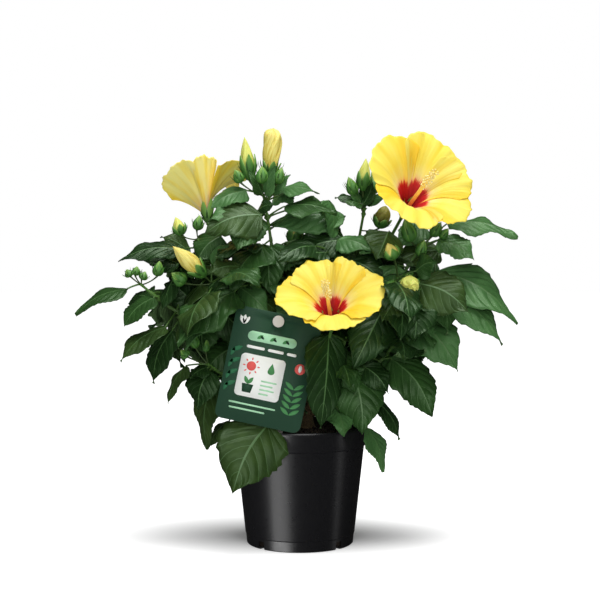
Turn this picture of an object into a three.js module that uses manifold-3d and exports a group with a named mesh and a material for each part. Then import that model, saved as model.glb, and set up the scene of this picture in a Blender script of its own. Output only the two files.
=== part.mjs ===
// A yellow hibiscus shrub in flower, in its black nursery pot, with a care label on a stick.
// Millimetres, +Z up. The origin is the middle of the pot's flat underside, and the label faces -Y.
import * as THREE from "three";
import { mergeVertices } from "three/addons/utils/BufferGeometryUtils.js";
import Module from "manifold-3d";

const wasm = await Module();
wasm.setup();

// Driving dimensions. Everything scales from the 13 cm pot.
const POT_HEIGHT = 116;
const POT_BASE_R = 52.5;
const POT_BODY_TOP_R = 63;
const POT_RIM_R = 65.5;
const RIM_BAND = 19.5;
const FOOT_BAND = 10.5;
const WALL = 1.4;
const BASE_PLATE = 2;
const SLOT = { wide: 7, high: 8, headings: [45, 135, 225, 315] };
const SOIL_TOP = 113;
const SOIL_EDGE = 107;
const GAP = 0.3;

const LABEL = { wide: 81, high: 106.5, thick: 1, corner: 7, hole: 4.25, middle: [-29.5, -70, 176.8], tilt: 12 };
const HOLE_DROP = 7.5;
const STICK = { wide: 8, thick: 1.8, foot: [-20.4, -44, 66], peg: 3.6, button: 5.4, buttonThick: 1.6 };

const TRUNK = { foot: [6, -4], fork: [8, -3, 152], flare: 10, low: 6.8, high: 5.2 };
const BOUGH_R = [3, 2.2];
const SHOOT_R = [1.7, 1.2];
const PETIOLE_R = 0.9;
const LEAF_THICK = 1.2;
const ARCH = 0.11;
const CLEAR = 0.35;
const GOLDEN = 137.5;

const THROAT_DEPTH = 6;
const COLUMN = 46;
const CALYX = 18;

// Each bough leaves the trunk at a height and ends at its fork: [height on the trunk, fork].
const BOUGHS = {
  bough_left: [134, [-70, -18, 205]],
  bough_left_low: [124, [-38, -34, 158]],
  bough_left_top: [146, [-60, 8, 240]],
  bough_top: [152, [-22, -12, 245]],
  bough_right_top: [148, [48, 12, 244]],
  bough_right: [138, [67, -28, 208]],
  bough_right_low: [124, [52, -26, 160]],
  bough_front: [130, [22, -42, 178]],
  bough_back_right: [132, [44, 44, 196]],
  bough_back: [142, [0, 58, 226]],
  bough_back_left: [130, [-46, 42, 196]],
};

// The foliage masses: the bough each grows from, the tip of its main shoot, the leaves that make
// the crown's outline, as [blade foot, blade tip, width, width seen from the front], the flower
// buds at its tip, as [bud foot, bud tip, radius], and how many leaves the seeded rule adds.
const MASSES = {
  foliage_left_low: {
    bough: "bough_left",
    tip: [-152, -34, 255],
    shown: [
      [[-163, -45, 251], [-210, -60, 227], 28, 12],
      [[-138, -45, 243], [-165, -58, 216], 30, 17],
      [[-127, -45, 215], [-167, -68, 184], 28, 15],
      [[-122, -32, 211], [-139, -45, 161], 34, 22],
    ],
    buds: [
      [[-161, -36, 262], [-165, -38, 269], 4],
      [[-157, -34, 263], [-155, -35, 272], 4],
      [[-151, -34, 259], [-147, -34, 267], 4],
      [[-137, -28, 262], [-134, -30, 277], 5],
    ],
    more: 4,
  },
  foliage_left_bottom: {
    bough: "bough_left_low",
    tip: [-87, -52, 180],
    shown: [
      [[-107, -55, 179], [-123, -70, 145], 22, 10],
      [[-86, -64, 178], [-102, -76, 169], 18, 10],
      [[-85, -60, 175], [-95, -66, 139], 28, 24],
      [[-82, -36, 164], [-88, -46, 98], 30, 20],
      [[-68, -24, 123], [-87, -30, 98], 18, 10],
      [[-37, -60, 125], [-62, -88, 64], 56, 54],
    ],
    buds: [
      [[-105, -56, 187], [-112, -58, 194], 4.5],
      [[-98, -52, 195], [-102, -54, 211], 4.5],
      [[-89, -48, 191], [-88, -48, 203], 3],
    ],
    more: 3,
  },
  foliage_left_upper: {
    bough: "bough_left_top",
    tip: [-99, -12, 298],
    shown: [
      [[-116, -2, 288], [-176, -12, 276], 26, 16],
      [[-108, 8, 283], [-137, 0, 300], 24, 17],
      [[-116, 12, 271], [-160, 22, 279], 26, 18],
      [[-106, -18, 239], [-130, -24, 255], 26, 22],
      [[-76, -15, 301], [-99, -27, 276], 30, 25],
    ],
    buds: [
      [[-114, -15, 301], [-120, -16, 319], 6.5],
      [[-100, -10, 306], [-97, -10, 321], 5],
    ],
    more: 4,
  },
  foliage_left_front: {
    bough: "bough_left",
    tip: [-84, -40, 256],
    shown: [
      [[-91, -34, 222], [-91, -46, 189], 34, 28],
      [[-57, -45, 272], [-84, -58, 266], 22, 17],
      [[-84, -44, 274], [-66, -48, 293], 14, 11],
    ],
    buds: [
      [[-89, -45, 262], [-119, -56, 291], 9],
      [[-108, -46, 256], [-121, -50, 266], 6.5],
    ],
    more: 5,
  },
  foliage_top: {
    bough: "bough_top",
    tip: [-35, -22, 340],
    shown: [
      [[-51, -30, 344], [-84, -45, 327], 26, 17],
      [[-39, -34, 323], [-86, -56, 315], 30, 22],
      [[-41, -38, 319], [-58, -66, 287], 32, 28],
      [[-40, -40, 325], [-24, -50, 330], 14, 11],
      [[-18, -15, 347], [19, -25, 341], 24, 12],
      [[-10, -8, 344], [-26, -14, 331], 24, 16],
      [[-15, -24, 329], [35, -36, 322], 34, 17],
      [[28, -12, 335], [31, -26, 297], 30, 16],
    ],
    buds: [
      [[-30, -20, 352], [-24, -18, 404], 10],
      [[-48, -24, 353], [-53, -26, 395], 7.5],
      [[-36, -34, 350], [-36, -36, 367], 6],
      [[-22, -30, 350], [-17, -32, 366], 5],
      [[-56, -30, 351], [-62, -32, 364], 5],
    ],
    more: 1,
  },
  foliage_centre_left: {
    bough: "bough_top",
    tip: [-46, -42, 262],
    shown: [
      [[-61, -58, 249], [-111, -102, 201], 44, 30],
      [[-58, -34, 252], [-30, -52, 228], 26, 22],
      [[-6, -24, 289], [-30, -36, 267], 30, 24],
    ],
    buds: [],
    more: 7,
  },
  foliage_centre_back: {
    bough: "bough_top",
    tip: [-8, 24, 294],
    shown: [
      [[25, 20, 323], [-31, 36, 311], 28, 15],
      [[3, 12, 317], [33, 16, 315], 18, 9],
    ],
    buds: [[[-8, 10, 292], [-1, 12, 314], 8]],
    more: 6,
  },
  foliage_centre_right: {
    bough: "bough_right_top",
    tip: [63, 0, 328],
    shown: [
      [[60, -6, 331], [43, -14, 333], 12, 7],
      [[65, -4, 332], [83, -14, 337], 12, 8],
      [[52, 4, 337], [34, 4, 338], 13, 8],
    ],
    buds: [
      [[53, -4, 340], [47, -6, 358], 5.5],
      [[61, -2, 344], [64, -4, 376], 7],
      [[68, 2, 341], [73, 2, 360], 7],
      [[77, 4, 308], [84, 0, 330], 8.5],
    ],
    more: 3,
  },
  foliage_centre_front: {
    bough: "bough_right_top",
    tip: [34, -26, 284],
    shown: [
      [[36, -26, 297], [67, -44, 287], 28, 18],
      [[25, -38, 285], [-9, -60, 276], 28, 20],
      [[47, -36, 278], [78, -52, 256], 30, 24],
    ],
    buds: [],
    more: 7,
  },
  foliage_right_top: {
    bough: "bough_right",
    tip: [116, -24, 290],
    shown: [
      [[132, -28, 297], [165, -42, 278], 28, 20],
      [[143, -10, 313], [208, -30, 299], 30, 15],
    ],
    buds: [
      [[106, -34, 295], [99, -42, 317], 7],
      [[126, -26, 300], [135, -28, 314], 5],
      [[134, -26, 298], [142, -28, 308], 4],
      [[113, -34, 281], [118, -40, 297], 5],
    ],
    more: 4,
  },
  foliage_right_mid: {
    bough: "bough_right",
    tip: [92, -56, 262],
    shown: [
      [[103, -74, 244], [105, -90, 206], 36, 33],
      [[91, -74, 250], [75, -90, 223], 28, 24],
      [[110, -64, 257], [156, -78, 230], 40, 34],
      [[108, -60, 268], [126, -70, 277], 22, 18],
      [[83, -52, 305], [71, -68, 279], 32, 30],
    ],
    buds: [
      [[88, -64, 279], [81, -70, 294], 7.5],
      [[100, -66, 256], [102, -82, 255], 9],
      [[86, -66, 254], [83, -76, 255], 5],
    ],
    more: 4,
  },
  foliage_right_out: {
    bough: "bough_right",
    tip: [128, -22, 254],
    shown: [
      [[132, -18, 267], [207, -38, 217], 48, 33],
      [[135, -28, 248], [191, -50, 198], 36, 24],
      [[100, -36, 226], [148, -60, 174], 44, 36],
    ],
    buds: [],
    more: 4,
  },
  foliage_right_low: {
    bough: "bough_right_low",
    tip: [90, -26, 196],
    shown: [
      [[60, -50, 178], [83, -60, 153], 24, 20],
      [[84, -18, 199], [103, -28, 162], 34, 30],
      [[95, -32, 163], [125, -50, 130], 36, 32],
      [[72, -30, 144], [95, -36, 106], 24, 12],
      [[64, -38, 118], [79, -44, 76], 26, 14],
    ],
    buds: [],
    more: 6,
  },
  foliage_front: {
    bough: "bough_front",
    tip: [44, -54, 206],
    shown: [
      [[30, -70, 206], [19, -86, 124], 46, 38],
      [[47, -50, 177], [58, -70, 116], 42, 38],
      [[35, -58, 138], [41, -80, 116], 20, 17],
      [[8, -26, 190], [0, -44, 142], 30, 26],
      [[52, -12, 212], [70, -28, 168], 34, 30],
    ],
    buds: [],
    more: 5,
  },
  foliage_inner_left: {
    bough: "bough_left_low",
    tip: [-54, -42, 212],
    shown: [
      [[-62, -30, 228], [-98, -36, 198], 40, 34],
      [[-60, -30, 196], [-92, -32, 168], 38, 30],
      [[-46, -30, 182], [-64, -36, 136], 36, 30],
    ],
    buds: [],
    more: 6,
  },
  foliage_inner_right: {
    bough: "bough_right_low",
    tip: [66, 8, 198],
    shown: [
      [[42, -8, 200], [38, -34, 152], 38, 32],
      [[66, -2, 190], [76, -20, 146], 36, 30],
      [[60, -14, 222], [66, -30, 182], 36, 30],
    ],
    buds: [],
    more: 6,
  },
  foliage_inner_front: {
    bough: "bough_front",
    tip: [2, -30, 226],
    shown: [
      [[22, -30, 200], [24, -48, 150], 36, 30],
      [[4, -38, 244], [-18, -50, 214], 30, 26],
    ],
    buds: [],
    more: 6,
  },
};

// The side away from the label carries masses of the same kind, spread by a loop.
const BACK_BOUGHS = ["bough_back_right", "bough_back", "bough_back_left"];
const BACK = { perBough: 2, firstHeading: 12, step: 31, reach: 132, low: 208, rise: 44, more: 10 };

// The open flowers: the bough each stalk grows from, the throat, the way the flower faces, its
// radius, how deep its funnel is and how soon it flares, and the turn of its first petal in degrees.
const BLOOMS = {
  bloom_right: { bough: "bough_right_top", throat: [104, -45, 342], faces: [0.36, -0.76, 0.54], radius: 57, depth: 29, flare: 2.6, turn: 10 },
  bloom_front: { bough: "bough_front", throat: [28, -90, 240], faces: [-0.03, -0.62, 0.78], radius: 51, depth: 21, flare: 2.6, turn: 30 },
  bloom_left: { bough: "bough_left_top", throat: [-87, 34, 328], faces: [-0.05, 0.38, 0.92], radius: 55, depth: 42, flare: 1.4, turn: 55 },
};

// The crown that the rule's leaves keep inside, by distance from the pot's axis.
const CROWN = { top: 296, shoulder: 105, fall: 0.9, floor: 124, skirt: 58, lift: 0.8, reach: 196 };

const COLOURS = {
  pot: [0x17181a, 0.42],
  soil: [0x2e211a, 0.95],
  bark: [0x5b4a35, 0.85],
  leaf: [0x274c23, 0.45],
  petal: [0xf6dc3c, 0.55],
  label: [0x26472f, 0.4],
  stick: [0xcbc5be, 0.5],
};

const UP = new THREE.Vector3(0, 0, 1);
const vec = (p) => new THREE.Vector3(...p);
const radians = THREE.MathUtils.degToRad;
const mixed = (a, b, share) => a.clone().lerp(b, share);
const along = (from, way, distance) => from.clone().addScaledVector(way, distance);

// A repeatable stream of numbers from 0 to 1.
function seeded(seed) {
  let state = seed;
  return () => {
    state = (Math.imul(state, 1664525) + 1013904223) >>> 0;
    return state / 4294967296;
  };
}

// A closed list of points and triangles as a solid.
function solid(points, triangles) {
  const vertProperties = new Float32Array(points.flatMap((p) => [p.x, p.y, p.z]));
  return new wasm.Manifold(new wasm.Mesh({ numProp: 3, vertProperties, triVerts: new Uint32Array(triangles.flat()) }));
}

function solidOf(geometry) {
  const bare = geometry.clone();
  bare.deleteAttribute("normal");
  bare.deleteAttribute("uv");
  const merged = mergeVertices(bare, 1e-4);
  return new wasm.Manifold(
    new wasm.Mesh({
      numProp: 3,
      vertProperties: new Float32Array(merged.attributes.position.array),
      triVerts: new Uint32Array(merged.index.array),
    }),
  );
}

function geometryOf(made) {
  const mesh = made.getMesh();
  const geometry = new THREE.BufferGeometry();
  geometry.setAttribute("position", new THREE.BufferAttribute(new Float32Array(mesh.vertProperties), 3));
  geometry.setIndex(new THREE.BufferAttribute(new Uint32Array(mesh.triVerts), 1));
  geometry.computeVertexNormals();
  return geometry;
}

// Joins overlapping solids into one body, with any loose scrap or sealed hollow left out.
function joined(solids) {
  const bodies = wasm.Manifold.union(solids).simplify(0.02).decompose();
  return bodies.sort((a, b) => b.volume() - a.volume())[0];
}

// A round limb along a curve, tapering from one radius to the other, with flat ends.
function limb(curve, [startR, endR], sides, steps) {
  const frames = curve.computeFrenetFrames(steps, false);
  const points = [];
  const triangles = [];
  for (let i = 0; i <= steps; i++) {
    const middle = curve.getPointAt(i / steps);
    const r = startR + ((endR - startR) * i) / steps;
    for (let k = 0; k < sides; k++) {
      const turn = (2 * Math.PI * k) / sides;
      points.push(along(along(middle, frames.normals[i], r * Math.cos(turn)), frames.binormals[i], r * Math.sin(turn)));
    }
  }
  for (let i = 0; i < steps; i++) {
    for (let k = 0; k < sides; k++) {
      const [a, b] = [i * sides + k, i * sides + ((k + 1) % sides)];
      triangles.push([a, b, b + sides], [a, b + sides, a + sides]);
    }
  }
  const last = steps * sides;
  for (let k = 1; k < sides - 1; k++) {
    triangles.push([0, k + 1, k], [last, last + k, last + k + 1]);
  }
  return solid(points, triangles);
}

const straight = (from, to, radii, sides) => limb(new THREE.LineCurve3(from, to), radii, sides, 1);

// A curve that leaves its start along a given way and bends to its end.
function bend(start, way, end) {
  const reach = start.distanceTo(end);
  return new THREE.QuadraticBezierCurve3(start, along(start, way, reach * 0.45), end);
}

// The way a bough sets off: a little flatter than the straight line to its fork.
function setOff(from, to) {
  return along(to.clone().sub(from).normalize(), UP, -0.12).normalize();
}

// A body turned about a straight axis or nearly so, from stations of [middle, radius] to a point.
function turned(stations, tip, sides) {
  const axis = tip.clone().sub(stations.at(-1)[0]).normalize();
  const side = new THREE.Vector3(0.3, 1, 0.2).cross(axis).normalize();
  const other = axis.clone().cross(side);
  const points = stations.flatMap(([middle, r]) =>
    Array.from({ length: sides }, (_, k) => {
      const turn = (2 * Math.PI * k) / sides;
      return along(along(middle, side, r * Math.cos(turn)), other, r * Math.sin(turn));
    }),
  );
  points.push(tip);
  const triangles = [];
  const last = (stations.length - 1) * sides;
  for (let k = 0; k < sides; k++) {
    const next = (k + 1) % sides;
    for (let row = 0; row < last; row += sides) {
      triangles.push([row + k, row + next, row + next + sides], [row + k, row + next + sides, row + k + sides]);
    }
    triangles.push([last + k, last + next, points.length - 1]);
    if (k > 0 && k < sides - 1) triangles.push([0, k + 1, k]);
  }
  return solid(points, triangles);
}

// A stalk that ends in a pointed pod, widest below its middle.
function pod(root, foot, tip, radius, sides) {
  return turned([[root, 1], [foot, 1.1], [mixed(foot, tip, 0.3), radius], [mixed(foot, tip, 0.72), radius * 0.72]], tip, sides);
}

// The upper side of a rule's blade looks up and outwards, then rolls about its midrib.
function upperWay(foot, tip, roll) {
  const ahead = tip.clone().sub(foot).normalize();
  const middle = mixed(foot, tip, 0.5);
  const outward = new THREE.Vector3(middle.x, middle.y, 0).normalize();
  const upper = along(outward.multiplyScalar(0.6), UP, 1);
  upper.addScaledVector(ahead, -upper.dot(ahead)).normalize();
  return upper.applyAxisAngle(ahead, radians(roll));
}

// The upper side of a listed blade turns to the front as far as the width seen there asks.
function seenWay(foot, tip, share) {
  const ahead = tip.clone().sub(foot).normalize();
  const front = new THREE.Vector3(0, -1, 0.1);
  front.addScaledVector(ahead, -front.dot(ahead)).normalize();
  const side = ahead.clone().cross(front);
  const lift = side.z + 0.3 * Math.sign(foot.x) * side.x < 0 ? -1 : 1;
  return front.multiplyScalar(share).addScaledVector(side, lift * Math.sqrt(1 - share * share)).normalize();
}

// A leaf: a three-sided stalk that opens into a blade, whose two folded halves meet in a thick
// midrib and arch over along their length. Each station is a share of the length, and the blade's
// breadth there as a share of its width: a listed leaf has two, and a rule's leaf has one.
const LISTED = [[0.26, 1], [0.62, 0.8]];
const RULED = [[0.4, 1]];

function leafSolid(root, foot, tip, wide, upper, stations) {
  const ahead = tip.clone().sub(foot).normalize();
  const across = ahead.clone().cross(upper);
  const length = foot.distanceTo(tip);
  const thick = Math.max(LEAF_THICK, length / 80) / 2;
  const arch = upperWay(foot, tip, 0).multiplyScalar(ARCH * length);
  const stalkWay = foot.clone().sub(root).normalize();
  const ring = (middle, way, r) => {
    const up = along(upper, way, -upper.dot(way)).normalize();
    const right = way.clone().cross(up);
    return [along(middle, up, r), ...[1, -1].map((side) => along(along(middle, right, 0.87 * side * r), up, -0.5 * r))];
  };
  const points = [
    ...ring(root, stalkWay, PETIOLE_R),
    ...ring(foot, stalkWay.clone().add(ahead).normalize(), PETIOLE_R * 0.8),
  ];
  for (const [share, breadth] of stations) {
    const rib = along(mixed(foot, tip, share), arch, Math.sin(Math.PI * share));
    const half = (breadth * wide) / 2;
    points.push(along(rib, upper, thick), along(rib, upper, -thick));
    for (const side of [half, -half]) points.push(along(along(rib, across, side), upper, -0.2 * half));
  }
  points.push(tip);
  const [R0, R1, R2, F0, F1, F2] = [0, 1, 2, 3, 4, 5];
  const at = stations.map((_, i) => [6, 7, 8, 9].map((k) => k + 4 * i));
  const [M, B, E, L] = at[0];
  const [lastM, lastB, lastE, lastL] = at.at(-1);
  const tipPoint = points.length - 1;
  const triangles = [
    [R0, R2, R1], [R0, R1, F1], [R0, F1, F0], [R1, R2, F2], [R1, F2, F1], [R2, R0, F0], [R2, F0, F2],
    [F0, F1, E], [F0, E, M], [F0, L, F2], [F0, M, L], [F1, F2, B], [F1, B, E], [F2, L, B],
    [lastM, lastE, tipPoint], [lastM, tipPoint, lastL], [lastB, tipPoint, lastE], [lastB, lastL, tipPoint],
  ];
  for (let i = 1; i < at.length; i++) {
    const [[m, b, e, l], [m2, b2, e2, l2]] = [at[i - 1], at[i]];
    triangles.push([m, e, e2], [m, e2, m2], [m, l2, l], [m, m2, l2], [b, e2, e], [b, b2, e2], [b, l, l2], [b, l2, b2]);
  }
  const made = solid(points, triangles);
  return { made, plate: made.trimByPlane(ahead.toArray(), along(foot, ahead, 1).dot(ahead)) };
}

// Every placed solid, with the node that owns it, so that later pieces can keep clear of it.
const placed = [];

function place(owner, made, kind = "solid") {
  placed.push({ owner, made, kind, box: made.boundingBox() });
  return made;
}

function isNear(a, b) {
  return [0, 1, 2].every((i) => a.min[i] < b.max[i] + CLEAR && b.min[i] < a.max[i] + CLEAR);
}

// Clear of every other node and, where a plate is given, that plate clear of its own node's blades.
function isClear(owner, made, plate) {
  const box = made.boundingBox();
  return placed
    .filter((other) => (other.owner !== owner || (plate && other.kind === "blade")) && isNear(box, other.box))
    .every((other) => (other.owner === owner ? plate : made).minGap(other.made, CLEAR * 2) >= CLEAR);
}

// A leaf on its stalk, from the shoot, at the first of its places that is clear, or left out.
function leafOn(owner, shoot, places, wide, stations) {
  for (const { foot, tip, upper } of places) {
    for (const root of rootsFor(shoot, foot)) {
      const { made, plate } = leafSolid(root, foot, tip, wide, upper, stations);
      if (isClear(owner, made, plate)) {
        place(owner, plate, "blade");
        return place(owner, made);
      }
    }
  }
  return null;
}

// The points of a shoot that a leaf may spring from: the closest ones to a spot below its foot.
function rootsFor(shoot, foot) {
  const target = along(foot, UP, -8);
  const points = shoot.getSpacedPoints(12).slice(1);
  return points.sort((a, b) => a.distanceTo(target) - b.distanceTo(target)).slice(0, 3);
}

// A listed leaf keeps its place as seen from the front, and moves back or forth to be clear.
const DEPTHS = [0, 5, -5, 10, -10, 16, -16, 24];

function listedPlaces([foot, tip, wide, seen]) {
  return DEPTHS.map((depth) => {
    const [f, t] = [foot, tip].map((p) => vec(p).setY(p[1] + depth));
    return { foot: f, tip: t, upper: seenWay(f, t, seen / wide) };
  });
}

// A rule's leaf turns about its shoot to be clear.
const TURNS = [0, 5, -5, 11, -11, 18, -18];

function ruledPlaces(root, foot, tip, roll) {
  return TURNS.map((turn) => {
    const [f, t] = [foot, tip].map((p) => p.clone().sub(root).applyAxisAngle(UP, radians(turn)).add(root));
    return { foot: f, tip: t, upper: upperWay(f, t, roll) };
  });
}

// A bud's stalk springs from the highest point of the shoot that lies well behind the bud.
function budRoot(shoot, foot, tip) {
  const way = tip.clone().sub(foot).normalize();
  const roots = [0.985, 0.9, 0.8, 0.7, 0.6].map((share) => shoot.getPointAt(share));
  return roots.find((root) => foot.clone().sub(root).normalize().dot(way) > 0.3) ?? roots[0];
}

function budOn(owner, shoot, foot, tip, radius) {
  const made = pod(budRoot(shoot, foot, tip), foot, tip, radius, radius < 6 ? 4 : 5);
  return isClear(owner, made) ? place(owner, made) : null;
}

function insideCrown(p) {
  const r = Math.hypot(p.x, p.y);
  const beforeLabel = p.y < -44 && Math.abs(p.x - LABEL.middle[0]) < 64 && p.z < 245;
  const beforeBloom = p.y < -70 && p.x > -30 && p.x < 85 && p.z > 190;
  if (beforeLabel || beforeBloom) return false;
  const top = CROWN.top - Math.max(0, r - CROWN.shoulder) * CROWN.fall;
  const floor = CROWN.floor + Math.max(0, r - CROWN.skirt) * CROWN.lift;
  return r < CROWN.reach && p.z < top && p.z > floor;
}

// More leaves by the seeded rule: each turns by the golden angle from the last, longer and lower
// towards the shoot's foot, and stands on a twig where the shoot is long.
function moreLeaves(owner, shoot, count, seed) {
  const chance = seeded(seed);
  const leaves = [];
  const length = shoot.getLength();
  let heading = 360 * chance();
  for (let tries = 0; leaves.length < count && tries < count * 8; tries++) {
    heading += GOLDEN;
    const share = 0.12 + 0.86 * chance();
    const root = shoot.getPointAt(share);
    const dip = radians(38 - 62 * (1 - share) + 14 * (chance() - 0.5));
    const bladeLong = (46 + 42 * (1 - share)) * (0.85 + 0.3 * chance());
    const wide = bladeLong * (0.5 + 0.12 * chance());
    const out = new THREE.Vector3(Math.cos(radians(heading)), Math.sin(radians(heading)), 0);
    const stalkLong = 14 + 0.28 * bladeLong + 0.08 * length * chance();
    const foot = along(along(root, out, stalkLong * Math.cos(dip)), UP, stalkLong * Math.sin(dip));
    const droop = dip - radians(38 + 20 * chance());
    const tip = along(along(foot, out, bladeLong * Math.cos(droop)), UP, bladeLong * Math.sin(droop));
    if (!insideCrown(foot) || !insideCrown(tip)) continue;
    const leaf = leafOn(owner, shoot, ruledPlaces(root, foot, tip, 30 * (chance() - 0.5)), wide, RULED);
    if (leaf) leaves.push(leaf);
  }
  return leaves;
}

// The pot: a thin tapering wall with a foot band, a rim band and four drainage slots.
function potSolid() {
  const rimFoot = POT_HEIGHT - RIM_BAND;
  const bodyFootR = POT_BASE_R + 1;
  const outer = [
    [0, 0], [POT_BASE_R - 1, 0], [POT_BASE_R, 1], [POT_BASE_R + 0.6, FOOT_BAND], [bodyFootR, FOOT_BAND + 0.6],
    [POT_BODY_TOP_R, rimFoot], [POT_RIM_R - 0.7, rimFoot + 1.2], [POT_RIM_R, POT_HEIGHT - 0.8], [POT_RIM_R - 0.6, POT_HEIGHT],
  ];
  const inner = [
    [POT_RIM_R - WALL - 0.4, POT_HEIGHT], [POT_RIM_R - WALL - 0.7, rimFoot + 2], [POT_BODY_TOP_R - WALL, rimFoot - 1],
    [bodyFootR - WALL, BASE_PLATE + 1], [bodyFootR - WALL - 1, BASE_PLATE], [0, BASE_PLATE],
  ];
  const profile = [...outer, ...inner].map(([r, z]) => new THREE.Vector2(r, z));
  let made = solidOf(new THREE.LatheGeometry(profile, 36).rotateX(Math.PI / 2));
  for (const heading of SLOT.headings) {
    const cutter = new THREE.BoxGeometry(8, SLOT.wide, SLOT.high * 2);
    cutter.translate(POT_BASE_R, 0, 0).rotateZ(radians(heading));
    made = made.subtract(solidOf(cutter));
  }
  return made;
}

// Potting soil fills the pot to its wall and base, a little heaped round a level spot for the stem.
function soilSolid() {
  const rimFoot = POT_HEIGHT - RIM_BAND;
  const room = GAP + 0.05;
  const edgeR = POT_RIM_R - WALL - 0.7 - room;
  const profile = [
    [0, BASE_PLATE + GAP], [POT_BASE_R - WALL - room, BASE_PLATE + GAP], [POT_BODY_TOP_R - WALL - room, rimFoot - 1],
    [edgeR, rimFoot + 2], [edgeR, SOIL_EDGE], [edgeR - 14, SOIL_EDGE + 3.5], [22, SOIL_TOP], [0, SOIL_TOP],
  ];
  const points = profile.map(([r, z]) => new THREE.Vector2(r, z));
  return solidOf(new THREE.LatheGeometry(points, 36).rotateX(Math.PI / 2));
}

// The label's own axes: it hangs upright, tilted in its plane.
const labelTilt = new THREE.Matrix4()
  .makeTranslation(...LABEL.middle)
  .multiply(new THREE.Matrix4().makeRotationY(radians(LABEL.tilt)))
  .multiply(new THREE.Matrix4().makeRotationX(Math.PI / 2));

function labelSolid() {
  const [w, h, r] = [LABEL.wide / 2, LABEL.high / 2, LABEL.corner];
  const card = new THREE.Shape();
  card.moveTo(-w + r, -h);
  for (const [x, y, start] of [[w - r, -h + r, -90], [w - r, h - r, 0], [-w + r, h - r, 90], [-w + r, -h + r, 180]]) {
    card.absarc(x, y, r, radians(start), radians(start + 90), false);
  }
  const hole = new THREE.Path();
  hole.absarc(0, h - HOLE_DROP, LABEL.hole, 0, 2 * Math.PI, true);
  card.holes.push(hole);
  const geometry = new THREE.ExtrudeGeometry(card, { depth: LABEL.thick, bevelEnabled: false, curveSegments: 4 });
  return solidOf(geometry.translate(0, 0, -LABEL.thick / 2).applyMatrix4(labelTilt));
}

const labelHole = new THREE.Vector3(0, LABEL.high / 2 - HOLE_DROP, 0).applyMatrix4(labelTilt);
const labelFront = labelHole.y - LABEL.thick / 2 - GAP;
const labelBack = labelHole.y + LABEL.thick / 2 + GAP;

// The flat strip of the stick, from the soil to just above the label's hole, with room round it.
function strip(room) {
  const foot = vec(STICK.foot);
  const top = new THREE.Vector3(labelHole.x, labelBack + 2.6, labelHole.z + 4);
  const bar = new THREE.BoxGeometry(STICK.wide + 2 * room, STICK.thick + 2 * room, foot.distanceTo(top) + 2 * room);
  bar.rotateX(-Math.atan2(top.y - foot.y, top.z - foot.z));
  const middle = mixed(foot, top, 0.5);
  return solidOf(bar.translate(middle.x, middle.y, middle.z));
}

// The stick leans out of the soil behind the label, and its peg and button carry the label's hole.
function stickSolid() {
  const disc = (radius, from, to) =>
    straight(labelHole.clone().setY(from), labelHole.clone().setY(to), [radius, radius], 12);
  return joined([
    strip(0),
    disc(STICK.peg, labelBack + 2.6, labelFront - 0.5),
    disc(STICK.button, labelFront, labelFront - STICK.buttonThick),
  ]);
}

// The trunk, with a root flare on its flat foot and a stub where each bough sets off.
function trunkAxis(height) {
  const foot = new THREE.Vector3(...TRUNK.foot, SOIL_TOP + GAP);
  const fork = vec(TRUNK.fork);
  return mixed(foot, fork, (height - foot.z) / (fork.z - foot.z));
}

const STUB = 13;

function boughStart(name) {
  const [height, fork] = BOUGHS[name];
  const from = trunkAxis(height);
  return { from, way: setOff(from, vec(fork)) };
}

function trunkSolid() {
  const foot = trunkAxis(SOIL_TOP + GAP);
  const ankle = along(foot, UP, 8);
  const pieces = [turned([[foot, TRUNK.flare], [ankle, TRUNK.low], [vec(TRUNK.fork), TRUNK.high]], along(vec(TRUNK.fork), UP, 3), 9)];
  for (const name of Object.keys(BOUGHS)) {
    const { from, way } = boughStart(name);
    pieces.push(straight(from, along(from, way, STUB), [BOUGH_R[0] + 0.5, BOUGH_R[0]], 5));
  }
  return joined(pieces);
}

// A bough bends from its stub to its fork, where it has one short arm for each shoot or stalk.
const ARM = 10;
const SPREAD = 1.7;

function boughCurve(name) {
  const { from, way } = boughStart(name);
  return bend(along(from, way, STUB + GAP), way, vec(BOUGHS[name][1]));
}

// The arms of a fork point at what they carry, and are spread apart from their common middle way.
function armWays(bough) {
  const fork = vec(BOUGHS[bough][1]);
  const carried = Object.entries(growth).filter(([, each]) => each.bough === bough);
  const ways = carried.map(([, { end }]) => end.clone().sub(fork).normalize());
  const middle = ways.reduce((sum, way) => sum.clone().add(way)).divideScalar(ways.length);
  const apart = ways.map((way) => middle.clone().lerp(way, SPREAD).normalize());
  return Object.fromEntries(carried.map(([name], i) => [name, apart[i]]));
}

function arm(name) {
  const { bough } = growth[name];
  const fork = vec(BOUGHS[bough][1]);
  const way = armWays(bough)[name];
  return straight(along(fork, way, -1), along(fork, way, ARM), [BOUGH_R[1], SHOOT_R[0]], 4);
}

// The shoot of a mass, or the stalk of a flower, goes on from its arm.
function shootCurve(name) {
  const { bough, end } = growth[name];
  const way = armWays(bough)[name];
  return bend(along(vec(BOUGHS[bough][1]), way, ARM + GAP), way, end);
}

// The five petals as one lobed and ruffled plate that rises from the throat and flares outwards.
// Each petal lies over the next, so the plate climbs across a petal and steps down to the next one.
const PETAL_ROWS = [0.06, 0.25, 0.6, 1];
const PETAL_COLUMNS = 20;

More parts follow.
